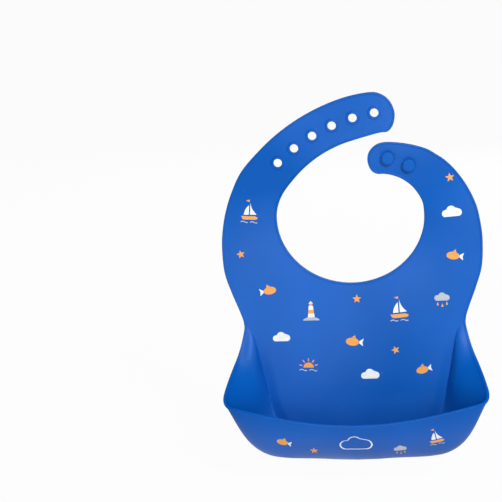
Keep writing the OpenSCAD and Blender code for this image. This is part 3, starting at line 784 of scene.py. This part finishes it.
def top_edge(o):
    """The upper edge of the front sheet, from the right side round the neck to the left side,
    and the station of the pocket that each of its points is joined to"""
    (in_l, out_l), (in_r, out_r) = shoulder_seams(o)
    right = [o.across(in_r, out_r, t) for t in reversed(stud_shares())]
    left = [o.across(in_l, out_l, t) for t in hole_shares(o)]
    neck = [o.inset(p) for p in spread(o.inset, in_r, in_l, NECK_COLUMNS)]
    points = right + neck[1:-1] + left
    shares = [SHOULDER_SHARE * n / STUD_ROWS for n in range(STUD_ROWS + 1)]
    shares += [mix(SHOULDER_SHARE, 1 - SHOULDER_SHARE, n / NECK_COLUMNS)
               for n in range(1, NECK_COLUMNS)]
    shares += [mix(1 - SHOULDER_SHARE, 1, n / (len(left) - 1)) for n in range(len(left))]
    stations = [2 * HALF_WAY * share for share in shares]
    first = len(right) - 1
    return points, stations, range(first, first + NECK_COLUMNS + 1)


def front_column(pocket, side, station):
    """The points of one column of the front sheet: down the panel, round the crease, out along
    the pocket's section and up to its lip"""
    crease = pocket.crease_at(station)
    controls = pocket.section(station)
    section = [bezier(controls, k / SECTION_FINE) for k in range(SECTION_FINE + 1)]
    reach = sum((b - a).length for a, b in zip(section, section[1:]))
    lip_w = mix(RIM_W, LIP_RIM_W, ramp(from_waist(station), LIP_GROWS))
    fillet = min(CREASE_FILLET, FILLET_SHARE * max(0.0, reach - lip_w))
    panel = by_length([side(v) for v in range(PANEL_ROWS + 1)], 0, fillet, PANEL_ROWS)
    start = panel[-1]
    out = by_length(section, fillet, lip_w, POCKET_ROWS)
    bend = []
    for k in range(1, FILLET_ROWS):
        t = k / FILLET_ROWS
        bend.append(start * (1 - t) ** 2 + crease * 2 * t * (1 - t) + out[0] * t * t)
    return panel + bend + out


def front_points(o, pocket):
    """The grid of the front sheet's middle, column by column"""
    top, stations, round_neck = top_edge(o)
    (in_l, out_l), (in_r, out_r) = shoulder_seams(o)
    last = len(o.points) - 1
    right = [o.inset(p) for p in spread(o.inset, out_r, last, PANEL_ROWS)]
    left = [o.inset(p) for p in spread(o.inset, out_l, 0, PANEL_ROWS)]
    low = [pocket.crease_at(s) for s in stations]
    columns = []
    count = len(top) - 1
    for n, (p, s) in enumerate(zip(top, stations)):
        u = n / count

        def side(k):
            v = k / PANEL_ROWS
            c = low[n]
            ends = right[k] * (1 - u) + left[k] * u
            lines = p * (1 - v) + Vector((c.x, c.z)) * v
            corners = ((top[0] * (1 - u) + top[-1] * u) * (1 - v)
                       + (right[-1] * (1 - u) + left[-1] * u) * v)
            q = ends + lines - corners
            return Vector((q.x, 0, q.y))

        columns.append(front_column(pocket, side, s))
    return columns, stations, round_neck


def build_front(o):
    """The front sheet: chest, belly and pocket in one"""
    pocket = Pocket(o)
    columns, stations, round_neck = front_points(o, pocket)
    bm = new_sheet()
    rows, last = len(columns[0]) - 1, len(columns) - 1

    def place(i, j):
        p = columns[i][j]
        return p + Vector((0, wave(p.x, p.z) + pocket.groove(p), 0))

    grid = lay_grid(bm, last, rows, place)
    mark(bm, [grid[i, 0] for i in round_neck], "rim")
    for i in (0, last):
        mark(bm, [grid[i, j] for j in range(rows + 1)], "rim")
    lip = bm.verts.layers.float["lip"]
    for i, s in enumerate(stations):
        v = grid[i, rows]
        mark(bm, [v], "rim")
        v[lip] = ramp(from_waist(s), LIP_GROWS)
    return mould(bm, o.sheet_t / 2)


# Which way each joint's sheet runs on, and where its bend starts and ends, in millimetres
FOLD_TOWARDS = {
    "belly_fold": Vector((0, 0, -1)),
    "hole_strap_fold": Vector((0, 0, 1)),
    "stud_strap_fold": Vector((0, 0, 1)),
    "hole_strap_curl": Vector((1, 0, 0)),
    "stud_strap_curl": Vector((-1, 0, 1)),
}
FOLD_REACH = {
    "belly_fold": (-18, 18),
    "hole_strap_fold": (-19, 19),
    "stud_strap_fold": (-19, 10),
    "hole_strap_curl": (-15, 15),
    "stud_strap_curl": (-8, 12),
}


def fold_points(joint, before, after):
    """Points before and after a joint's axis, square to it in the panel's plane"""
    axis = Vector(joint["axis"]).normalized()
    towards = Vector((0, 1, 0)).cross(axis)
    if towards.dot(FOLD_TOWARDS[joint["name"]]) < 0:
        towards = -towards
    at = Vector(joint["pos_m"])
    return at + towards * before * MM, at + towards * after * MM


def bend_with(piece, name):
    """Lets a piece bend across one joint"""
    joint = JOINTS[name]
    start, end = fold_points(joint, *FOLD_REACH[name])
    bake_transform(piece, joint["parent"], joint["child"], start=start, end=end)


# ---------------------------------------------------------------- the straps


PITCH_COLUMNS = 16
HOLE_HALF_COLUMNS, HOLE_HALF_ROWS = 6, 5
ROOT_COLUMNS, STUD_ROOT_COLUMNS, STUD_TIP_COLUMNS = 58, 44, 40
TIP_COLUMNS, TIP_RINGS = 70, 9
# Where the hole strap is parted and where its end's fan starts, counted in holes
HOLE_SEAM, HOLE_FAN = 4.5, 1.5
# How far the inner edge's places run on for each hole past hole 2
TURN_IN = 0.8
# Places on the stud strap's edges: its seam, and where its end's fan starts
STUD_SEAM_IN, STUD_SEAM_OUT = 0.25, 5.65
STUD_FAN_IN, STUD_FAN_MIDDLE = 3, -1.5


def strap_places(o, k):
    """The places on both edges in line with hole k, which may be a share"""
    if k >= 2:
        return o.inner_place(k), o.outer_place(k)
    return o.inner_place(2) - (2 - k) * TURN_IN, o.outer_place(2) + (2 - k)


def strap_grid(bm, o, pairs, shares):
    """A grid across a strap, along pairs of places on its edges"""
    rows = len(shares) - 1
    grid = lay_grid(bm, len(pairs) - 1, rows,
                    lambda i, j: in_room(o.across(*pairs[i], shares[j])))
    for i in range(len(pairs)):
        mark(bm, [grid[i, 0], grid[i, rows]], "rim")
    return grid


def strap_run(o, first, last, count):
    """count + 1 pairs of places on a strap's edges, evenly from one pair to another"""
    inner, outer = (spread(o.inset, a, b, count) for a, b in zip(first, last))
    return list(zip(inner, outer))


def tip_fan(bm, o, line, edge_places, middle, radius):
    """The strap's rounded end, in rings from its edge in to a circle round middle, which is
    returned"""
    edge = [o.inset(p) for p in spread(o.inset, *edge_places, TIP_COLUMNS)]
    loop = line[:-1] + edge
    last = len(loop) - 1

    def place(i, j):
        p = loop[i]
        inner = middle + (p - middle).normalized() * radius
        return in_room(p.lerp(inner, j / TIP_RINGS))

    grid = lay_grid(bm, last, TIP_RINGS, place)
    mark(bm, [grid[0, 0]] + [grid[i, 0] for i in range(len(line) - 1, last + 1)], "rim")
    return [grid[i, TIP_RINGS] for i in range(last + 1)]


def build_hole_root(o):
    """The hole strap from the shoulder to past its fifth hole"""
    pairs = strap_run(o, shoulder_seams(o)[0], strap_places(o, HOLE_COUNT), ROOT_COLUMNS)
    steps = round((HOLE_COUNT - HOLE_SEAM) * PITCH_COLUMNS)
    pairs += [strap_places(o, HOLE_COUNT - n / PITCH_COLUMNS) for n in range(1, steps + 1)]
    bm = new_sheet()
    grid = strap_grid(bm, o, pairs, hole_shares(o))
    for k in range(HOLE_COUNT, math.floor(HOLE_SEAM), -1):
        column = ROOT_COLUMNS + (HOLE_COUNT - k) * PITCH_COLUMNS
        cut_hole(bm, grid, column, o.hole(k), o.hole_edge_r)
    return mould(bm, o.sheet_t / 2)


def build_hole_tip(o):
    """The end of the hole strap, with its first four holes"""
    steps = round((HOLE_SEAM - HOLE_FAN) * PITCH_COLUMNS)
    pairs = [strap_places(o, HOLE_SEAM - n / PITCH_COLUMNS) for n in range(steps + 1)]
    bm = new_sheet()
    shares = hole_shares(o)
    grid = strap_grid(bm, o, pairs, shares)
    for k in range(math.floor(HOLE_SEAM), 1, -1):
        column = round((HOLE_SEAM - k) * PITCH_COLUMNS)
        cut_hole(bm, grid, column, o.hole(k), o.hole_edge_r)
    line = [o.across(*pairs[-1], t) for t in shares]
    ring = tip_fan(bm, o, line, pairs[-1][::-1], o.hole(1), o.hole_edge_r)
    mark(bm, ring, "rim", "hole")
    return mould(bm, o.sheet_t / 2)


def stud_seam(o):
    """Inner and outer places of the seam below the stud strap's bending line"""
    return o.starts[5] + STUD_SEAM_IN, o.starts[7] + STUD_SEAM_OUT


def build_stud_root(o):
    """The stud strap from the shoulder to its bending line"""
    bm = new_sheet()
    pairs = strap_run(o, shoulder_seams(o)[1], stud_seam(o), STUD_ROOT_COLUMNS)
    strap_grid(bm, o, pairs, stud_shares())
    return mould(bm, o.sheet_t / 2)


def build_stud_tip(o):
    """The end of the stud strap"""
    fan = o.starts[5] + STUD_FAN_IN, o.starts[7]
    bm = new_sheet()
    strap_grid(bm, o, strap_run(o, stud_seam(o), fan, STUD_TIP_COLUMNS), stud_shares())
    line = [o.across(*fan, t) for t in reversed(stud_shares())]
    tip_fan(bm, o, line, fan, o.by_stud(STUD_FAN_MIDDLE, 0), 0.0)
    return mould(bm, o.sheet_t / 2)


# Radius and height above the strap's front, from the fillet at the foot to the head's middle
STUD_PROFILE = ((4.9, -0.12), (4.3, 0.06), (3.75, 0.3), (3.4, 0.75), (3.27, 1.3), (3.25, 2.9),
                (3.35, 3.1), (3.6, 3.2), (5.1, 3.22), (5.36, 3.3), (5.48, 3.5), (5.5, 3.75),
                (5.5, 4.4), (5.44, 4.62), (5.28, 4.8), (4.86, 5.16), (4.66, 5.3), (4.4, 5.38),
                (4.0, 5.4), (2.0, 5.4), (0.0, 5.4))
STUD_STEPS = 72


def build_stud(o, at):
    """One stud: a neck with a fillet at its foot and a flat head with a chamfered top"""
    bm = bmesh.new()
    foot = wave(at.x, at.y) - o.sheet_t / 2
    verts = [bm.verts.new((at.x + r, foot - h, at.y)) for r, h in STUD_PROFILE]
    edges = [bm.edges.new(pair) for pair in zip(verts, verts[1:])]
    bmesh.ops.spin(bm, geom=verts + edges, cent=Vector((at.x, 0, at.y)), axis=Vector((0, 1, 0)),
                   dvec=Vector(), angle=2 * math.pi, steps=STUD_STEPS, use_merge=True)
    bmesh.ops.remove_doubles(bm, verts=bm.verts, dist=MERGE)
    foot_edge = [e for e in bm.edges if e.is_boundary]
    bmesh.ops.holes_fill(bm, edges=foot_edge, sides=0)
    for f in bm.faces:
        f.smooth = len(f.verts) <= 4
    bmesh.ops.recalc_face_normals(bm, faces=bm.faces)
    return bm


# ---------------------------------------------------------------- the printed pictures


INK_PROUD, INK_SUNK = 0.09, 0.06
INK_CELL = 1.5
INK_EDGE_ANGLE = math.radians(40)
CUT_REACH = 1e-5
ARC_STEP = 12
BOW_STEPS = 5
LINE_SHARE = 0.09
# Distance from the sun's middle and half the width at the four corners of a ray
RAY_SHAPE = ((5.6, 0.5), (5.6, -0.5), (8.2, -0.35), (8.2, 0.35))


def arc(x, z, r, start, stop, squash=1.0):
    """Points along an arc round a place, from start to stop in degrees"""
    count = max(2, math.ceil(abs(stop - start) / ARC_STEP))
    angles = [math.radians(mix(start, stop, k / count)) for k in range(count + 1)]
    return [(x + r * math.cos(a), z + r * squash * math.sin(a)) for a in angles]


def bowed(a, b, bow=0.0):
    """Points from a to b along a line that bows to its left; b itself is left out"""
    across, up = b[0] - a[0], b[1] - a[1]
    found = []
    for k in range(BOW_STEPS):
        t = k / BOW_STEPS
        lift = 4 * t * (1 - t) * bow
        found.append((a[0] + across * t - up * lift, a[1] + up * t + across * lift))
    return found


def ring_of(outline, share):
    """The outline drawn in towards its middle by a share, for a line round a shape"""
    x = sum(p[0] for p in outline) / len(outline)
    z = sum(p[1] for p in outline) / len(outline)
    return [(mix(p[0], x, share), mix(p[1], z, share)) for p in outline]


def band(low_w, low_z, top_w, top_z):
    """A level band, given by half its width and its height at the foot and at the top"""
    return [(-low_w, low_z), (low_w, low_z), (top_w, top_z), (-top_w, top_z)]


def sailboat():
    """A boat under sail on two strokes of water"""
    hull = bowed((-7.5, -2.6), (7.8, -2.3), -0.03) + arc(5.4, -3.6, 2.2, -10, -80, 1.1)
    hull += arc(-4.6, -3.4, 2.4, -100, -165, 1.1)
    main = bowed((0.5, -1.5), (6.6, -1.2)) + bowed((6.6, -1.2), (0.9, 9.6), 0.1)
    jib = bowed((-5.2, -1.6), (-0.6, -1.5)) + bowed((-0.6, -1.5), (-0.4, 7.4))
    jib += bowed((-0.4, 7.4), (-5.2, -1.6), -0.1)
    flag = [(0.2, 10.2), (0.3, 12.4), (-3.2, 11.5)]
    return (("ink_orange", hull), ("ink_white", main + [(0.9, 9.6)]), ("ink_white", jib),
            ("ink_orange", flag), *water(-8.6))


def water(z):
    """Two short strokes of water"""
    strokes = []
    for x, low in ((-4.4, z), (4.2, z - 0.3)):
        top = bowed((x - 3.6, low), (x, low + 0.1), 0.16)
        top += bowed((x, low + 0.1), (x + 3.6, low), -0.16)
        strokes.append(("ink_grey", top + [(q[0], q[1] + 0.8) for q in reversed(top)]))
    return strokes


def fish():
    """A small fish with a pale band and tail"""
    body = arc(0, 0, 5.6, 12, 168, 0.62) + arc(0, 0, 5.6, 192, 348, 0.62)
    tail = [(5.7, 0.9), (9.3, 3.5), (8.4, 0.1), (9.2, -3.2), (5.7, -0.9)]
    fin = bowed((-0.8, 3.8), (2.8, 3.3)) + bowed((2.8, 3.3), (1.9, 5.9), 0.1)
    return ("ink_orange", body), ("ink_white", tail), ("ink_orange", fin + [(1.9, 5.9)])


def cloud():
    """A cloud with a flat foot"""
    edge = arc(-5.2, 0, 3.0, 250, 95) + arc(-0.4, 2.4, 3.9, 165, 35) + arc(5, 0.4, 3.2, 75, -80)
    return (("ink_white", edge),)


def storm():
    """A grey cloud over three orange drops"""
    drops = []
    for x, z in ((-3.8, -5.8), (0.2, -7.2), (4.2, -5.6)):
        drops.append(("ink_orange", arc(x, z, 0.95, 200, 340) + [(x, z + 2.4)]))
    edge = arc(-4, 0, 2.6, 250, 95) + arc(0, 1.6, 3.3, 165, 35) + arc(4.2, 0.2, 2.6, 75, -80)
    return ("ink_grey", edge), *drops


def star():
    """A five-pointed star"""
    points = []
    for k in range(10):
        r, a = (4.6, 1.95)[k % 2], math.radians(90 + 36 * k)
        points.append((r * math.cos(a), r * math.sin(a)))
    return (("ink_orange", points),)


def sun():
    """Half a sun over the water"""
    rays = []
    for a in range(18, 180, 36):
        c, s = math.cos(math.radians(a)), math.sin(math.radians(a))
        rays.append(("ink_orange", [(r * c - w * s, r * s + w * c) for r, w in RAY_SHAPE]))
    return ("ink_orange", arc(0, 0, 4.4, 0, 180)), *rays, *water(-2.6)


def lighthouse():
    """A small lighthouse with bands on a rock"""
    rock = arc(0, -7.2, 7, 168, 12, 0.5)
    roof = [(-1.9, 7.4), (1.9, 7.4), (0, 9.6)]
    return (("ink_grey", rock), ("ink_white", band(2.8, -4.2, 2.4, -0.8)),
            ("ink_orange", band(2.4, -0.8, 2.05, 2.4)), ("ink_white", band(2.05, 2.4, 1.7, 5.6)),
            ("ink_orange", band(1.2, 5.6, 1.2, 7.4)), ("ink_white", roof))


def cloud_line():
    """The outline of a cloud, as one white line"""
    edge = arc(-9.5, 0, 5.2, 262, 100) + arc(-1.5, 3.4, 6.4, 160, 42) + arc(8.6, 0.4, 5.6, 80, -82)
    return (("ink_white", edge, LINE_SHARE),)


# Each print: the picture, its place, the middle's x and z, its turn in degrees and its size,
# which is negative for a picture that faces the other way
PRINTS = (
    (sailboat, "hole strap", -84, 5, -3, 0.92), (star, "panel", -93, -30, 12, 0.8),
    (cloud, "stud strap", 84, 0, 4, 1.0), (fish, "panel", 84, -36, -8, 0.95),
    (fish, "panel", -70, -62, 10, -0.95), (lighthouse, "panel", -36, -82, 0, 1.05),
    (star, "panel", 3, -71, 0, 0.85), (sailboat, "panel", 38, -82, 4, 1.0),
    (storm, "panel", 74, -72, 0, 0.95), (cloud, "panel", -62, -104, 0, 0.9),
    (fish, "panel", -2, -108, -6, 1.0), (sun, "panel", -40, -130, 0, 1.0),
    (star, "panel", 34, -116, 20, 0.8), (cloud, "panel", 12, -138, 0, 0.95),
    (fish, "panel", 56, -134, 14, 0.9), (star, "stud strap", 83, 30, 8, 0.85),
    (fish, "wall", -62, -184, -16, 0.85), (star, "wall", -36, -193, 0, 0.8),
    (cloud_line, "wall", 0, -186, 0, 0.95), (sailboat, "wall", 66, -182, 12, 0.8),
    (storm, "wall", 36, -192, 4, 0.8),
)
# Each place: the sheet that the ink lies on, where its rays start, and the joint that bends it
PRINT_PLACES = {
    "panel": ("front_and_pocket", -12, "belly_fold"),
    "wall": ("front_and_pocket", -90, "belly_fold"),
    "hole strap": ("hole_strap_shoulder", -12, "hole_strap_fold"),
    "stud strap": ("stud_strap_shoulder", -12, "stud_strap_fold"),
}


def lay_outline(bm, place, points, line=0):
    """Adds a flat shape, or a line round it, where place(x, z) puts its points"""
    edges = []
    for loop in ((points, ring_of(points, line)) if line else (points,)):
        verts = [bm.verts.new(place(*q)) for q in loop]
        edges.append([bm.edges.new(pair) for pair in zip(verts, verts[1:] + verts[:1])])
    if line:
        bmesh.ops.bridge_loops(bm, edges=edges[0] + edges[1])
    else:
        bmesh.ops.triangle_fill(bm, edges=edges[0], use_beauty=True)


def cut_in_cells(bm):
    """Cuts flat shapes into small cells, so that they can follow the sheet"""
    for axis in (Vector((1, 0, 0)), Vector((0, 0, 1))):
        along = [v.co.dot(axis) for v in bm.verts]
        for k in range(math.ceil(min(along) / INK_CELL), math.ceil(max(along) / INK_CELL)):
            bmesh.ops.bisect_plane(bm, geom=list(bm.verts) + list(bm.edges) + list(bm.faces),
                                   plane_co=axis * k * INK_CELL, plane_no=axis, dist=CUT_REACH)


def press_on(bm, host, from_y):
    """Moves flat shapes onto a sheet and gives them the ink's thickness"""
    source = bmesh.new()
    source.from_mesh(host.data)
    tree = BVHTree.FromBMesh(source)
    source.free()
    bmesh.ops.recalc_face_normals(bm, faces=bm.faces)
    for f in bm.faces:
        f.normal_update()
        if f.normal.y > 0:
            f.normal_flip()
    number = bm.verts.layers.int.new("id")
    bm.verts.index_update()
    away = []
    for v in bm.verts:
        origin = Vector((v.co.x, from_y, v.co.z)) * MM
        hit, normal, _, _ = tree.ray_cast(origin, Vector((0, 1, 0)))
        if hit is None:
            raise RuntimeError(f"a printed picture lies off the sheet at {v.co.x}, {v.co.z}")
        v[number] = v.index
        away.append(normal if normal.y < 0 else -normal)
        v.co = hit / MM
    low = list(bm.verts)
    made = bmesh.ops.extrude_face_region(bm, geom=list(bm.faces), use_keep_orig=True)["geom"]
    for v in only(bmesh.types.BMVert, made):
        v.co += away[v[number]] * INK_PROUD
    for v in low:
        v.co -= away[v[number]] * INK_SUNK
    bmesh.ops.recalc_face_normals(bm, faces=bm.faces)
    for f in bm.faces:
        f.smooth = True
    bm.normal_update()
    for e in bm.edges:
        if len(e.link_faces) == 2 and e.calc_face_angle(0) > INK_EDGE_ANGLE:
            e.smooth = False


# ---------------------------------------------------------------- the operators


class BIB_OT_front(bpy.types.Operator):
    """Makes the front sheet: chest, belly and catch pocket in one"""

    bl_idname = "bib.front"
    bl_label = "Front and pocket"

    def execute(self, context):
        o = Outline(context.scene.bib_sizes)
        piece = make_object("front_and_pocket", build_front(o), "silicone")
        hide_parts("chest_panel", "chest_edge_bead", "belly_panel", "belly_edge_bead",
                    "left_gusset", "right_gusset", "pocket_floor", "pocket_front_wall",
                    "pocket_lip_bead")
        bend_with(piece, "belly_fold")
        return {"FINISHED"}


class BIB_OT_hole_strap(bpy.types.Operator):
    """Makes the long strap with the row of holes"""

    bl_idname = "bib.hole_strap"
    bl_label = "Hole strap"

    def execute(self, context):
        o = Outline(context.scene.bib_sizes)
        root = make_object("hole_strap_shoulder", build_hole_root(o), "silicone")
        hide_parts("hole_strap_root", "hole_strap_root_bead")
        bend_with(root, "hole_strap_fold")
        tip = make_object("hole_strap_end", build_hole_tip(o), "silicone")
        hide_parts("hole_strap_tip", "hole_strap_tip_bead")
        bend_with(tip, "hole_strap_curl")
        return {"FINISHED"}


class BIB_OT_stud_strap(bpy.types.Operator):
    """Makes the short strap with its two studs"""

    bl_idname = "bib.stud_strap"
    bl_label = "Stud strap"

    def execute(self, context):
        o = Outline(context.scene.bib_sizes)
        root = make_object("stud_strap_shoulder", build_stud_root(o), "silicone")
        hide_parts("stud_strap_root", "stud_strap_root_bead")
        bend_with(root, "stud_strap_fold")
        tip = make_object("stud_strap_end", build_stud_tip(o), "silicone")
        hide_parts("stud_strap_tip", "stud_strap_tip_bead")
        bend_with(tip, "stud_strap_curl")
        for n, name in enumerate(("inner_stud", "outer_stud")):
            made = build_stud(o, o.by_stud(n * o.hole_pitch, 0))
            stud = make_object("button_" + name, made, "silicone")
            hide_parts(name)
            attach(stud, "stud_strap_end")
        return {"FINISHED"}


class BIB_OT_prints(bpy.types.Operator):
    """Prints the small seaside pictures onto the bib in orange, white and grey ink"""

    bl_idname = "bib.prints"
    bl_label = "Printed pictures"

    def execute(self, context):
        for where, (host_name, from_y, joint) in PRINT_PLACES.items():
            host = bpy.data.objects[host_name]
            for slot in ("ink_orange", "ink_white", "ink_grey"):
                whole = bmesh.new()
                for picture, at, x, z, turn, size in PRINTS:
                    if at != where:
                        continue
                    c, s = math.cos(math.radians(turn)), math.sin(math.radians(turn))

                    def place(px, pz):
                        px, pz = px * size, pz * abs(size)
                        return x + px * c - pz * s, 0, z + px * s + pz * c

                    for ink, *shape in picture():
                        if ink == slot:
                            lay_outline(whole, place, *shape)
                if not whole.verts:
                    whole.free()
                    continue
                cut_in_cells(whole)
                press_on(whole, host, from_y)
                name = "_".join(("print", *where.split(), slot.split("_")[1]))
                piece = make_object(name, whole, slot)
                bend_with(piece, joint)
        return {"FINISHED"}


# The camera's place, fitted to the photograph's outline
VIEW_ELEVATION, VIEW_AZIMUTH, VIEW_ROLL = 13.15, 2.82, 2.12
VIEW_DISTANCE = 1.4
LOOK_AT = Vector((0, -0.015, -0.05))
LOOK_PIXEL = (351.7, 278.4)
FRAME_PIXELS = 502
METRES_PER_PIXEL = 0.000831
SENSOR = 36
CLIP_NEAR, CLIP_FAR = 0.05, 20
FLOOR_HALF, FLOOR_GAP = 12.0, 0.03
FLOOR_ROUGH, FLOOR_WHITE = 0.9, 0.95
WORLD_LEVEL = 0.2
# The lamps: place, width, power and the place they point at
BIB_MIDDLE, POCKET_MIDDLE = Vector((0, 0, -0.05)), Vector((0, 0, -0.19))
LAMPS = {
    "key": ((0.55, -1.45, 0.8), 0.28, 20, BIB_MIDDLE),
    "fill": ((0, -2.0, 0.5), 1.2, 3.5, BIB_MIDDLE),
    "top": ((-0.2, 0.4, 1.8), 1.2, 3, BIB_MIDDLE),
    "low": ((-0.1, -1.3, -0.2), 0.8, 4, POCKET_MIDDLE),
    "back": ((0.3, 1.6, 0.6), 1.2, 8, BIB_MIDDLE),
}


def place_camera():
    """The photograph's own view: the look point lands on its pixel by turning the camera"""
    data = bpy.data.cameras.new("camera")
    camera = bpy.data.objects.new("camera", data)
    bpy.context.scene.collection.objects.link(camera)
    data.sensor_width = SENSOR
    data.lens = SENSOR * VIEW_DISTANCE / (FRAME_PIXELS * METRES_PER_PIXEL)
    e, a = math.radians(VIEW_ELEVATION), math.radians(VIEW_AZIMUTH)
    back = Vector((math.sin(a) * math.cos(e), -math.cos(a) * math.cos(e), math.sin(e)))
    aim = (-back).to_track_quat("-Z", "Y").to_matrix()
    aim = aim @ Matrix.Rotation(math.radians(-VIEW_ROLL), 3, "Z")
    aside = (LOOK_PIXEL[0] - FRAME_PIXELS / 2) * METRES_PER_PIXEL / VIEW_DISTANCE
    below = (LOOK_PIXEL[1] - FRAME_PIXELS / 2) * METRES_PER_PIXEL / VIEW_DISTANCE
    seen = Vector((aside, -below, -1)).normalized()
    aim = aim @ seen.rotation_difference(Vector((0, 0, -1))).to_matrix()
    camera.matrix_world = Matrix.Translation(LOOK_AT + back * VIEW_DISTANCE) @ aim.to_4x4()
    data.clip_start, data.clip_end = CLIP_NEAR, CLIP_FAR
    bpy.context.scene.camera = camera


def lamp(name, place, size, power, aim):
    """A soft square lamp that points at aim"""
    data = bpy.data.lights.new(name, "AREA")
    data.shape, data.size, data.energy = "SQUARE", size, power
    light = bpy.data.objects.new(name, data)
    bpy.context.scene.collection.objects.link(light)
    light.location = place
    light.rotation_euler = (aim - Vector(place)).to_track_quat("-Z", "Y").to_euler()


class BIB_OT_stage(bpy.types.Operator):
    """Sets the pale floor, the soft lamps, the world and the camera"""

    bl_idname = "bib.stage"
    bl_label = "Stage"

    def execute(self, context):
        bm = bmesh.new()
        bmesh.ops.create_grid(bm, x_segments=2, y_segments=2, size=FLOOR_HALF)
        mesh = bpy.data.meshes.new("floor")
        bmesh.ops.translate(bm, vec=Vector((0, 0, CAD_BOX[0].z - FLOOR_GAP)), verts=bm.verts)
        bm.to_mesh(mesh)
        bm.free()
        floor = bpy.data.objects.new("floor", mesh)
        context.scene.collection.objects.link(floor)
        mesh.materials.append(floor_material(context.scene.bib_colours.floor))
        context.scene.view_settings.view_transform = "Standard"
        light_world(context.scene)
        for name, values in LAMPS.items():
            lamp(name, *values)
        place_camera()
        return {"FINISHED"}


def light_world(scene):
    """An even pale world that looks white to the camera and in reflections"""
    world = bpy.data.worlds.new("studio")
    world.use_nodes = True
    scene.world = world
    tree = world.node_tree
    level = to_range(tree, seen_directly(tree), WORLD_LEVEL, 1, 0, 1)
    feed(tree, tree.nodes["Background"], {"Strength": level, "Color": (1, 1, 1, 1)})


def seen_directly(tree):
    """1 for camera, glossy and transmission rays and 0 for the light on the object"""
    path = add_node(tree, "LightPath", {})
    total = path["Is Camera Ray"]
    for name in ("Is Glossy Ray", "Is Transmission Ray"):
        total = combined(tree, "MAXIMUM", total, path[name])
    return total


def floor_material(tone):
    """Pale matte floor that keeps a soft share of the shadow and runs out to white"""
    material, tree, shader = node_tree("pale_floor")
    feed(tree, shader, {"Base Color": (*tone, 1), "Roughness": FLOOR_ROUGH})
    share = to_range(tree, seen_directly(tree), 0, FLOOR_WHITE, 0, 1)
    glow = add_node(tree, "Emission", {"Color": (1, 1, 1, 1)})
    both = add_node(tree, "MixShader", {"Fac": share, 1: shader.outputs[0], 2: glow[0]})
    feed(tree, tree.nodes["Material Output"], {"Surface": both[0]})
    return material


class BIB_PT_panel(bpy.types.Panel):
    """Lists the bib's sizes, colours and makers"""

    bl_idname = "BIB_PT_panel"
    bl_label = "Silicone Bib"
    bl_space_type = "VIEW_3D"
    bl_region_type = "UI"
    bl_category = "Bib"

    def draw(self, context):
        for group in (context.scene.bib_sizes, context.scene.bib_colours):
            for name in group.__annotations__:
                self.layout.prop(group, name)
        for operator in OPERATORS:
            self.layout.operator(operator.bl_idname)


OPERATORS = (BIB_OT_front, BIB_OT_hole_strap, BIB_OT_stud_strap, BIB_OT_prints, BIB_OT_stage)
CLASSES = (BibSizes, BibColours, *OPERATORS, BIB_PT_panel)


def register():
    for made in CLASSES:
        bpy.utils.register_class(made)
    bpy.types.Scene.bib_sizes = PointerProperty(type=BibSizes)
    bpy.types.Scene.bib_colours = PointerProperty(type=BibColours)


def unregister():
    del bpy.types.Scene.bib_colours
    del bpy.types.Scene.bib_sizes
    for made in reversed(CLASSES):
        bpy.utils.unregister_class(made)


def main():
    register()
    bpy.ops.bib.front()
    bpy.ops.bib.hole_strap()
    bpy.ops.bib.stud_strap()
    bpy.ops.bib.prints()
    bpy.ops.bib.stage()
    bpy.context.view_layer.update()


if __name__ == "__main__":
    main()
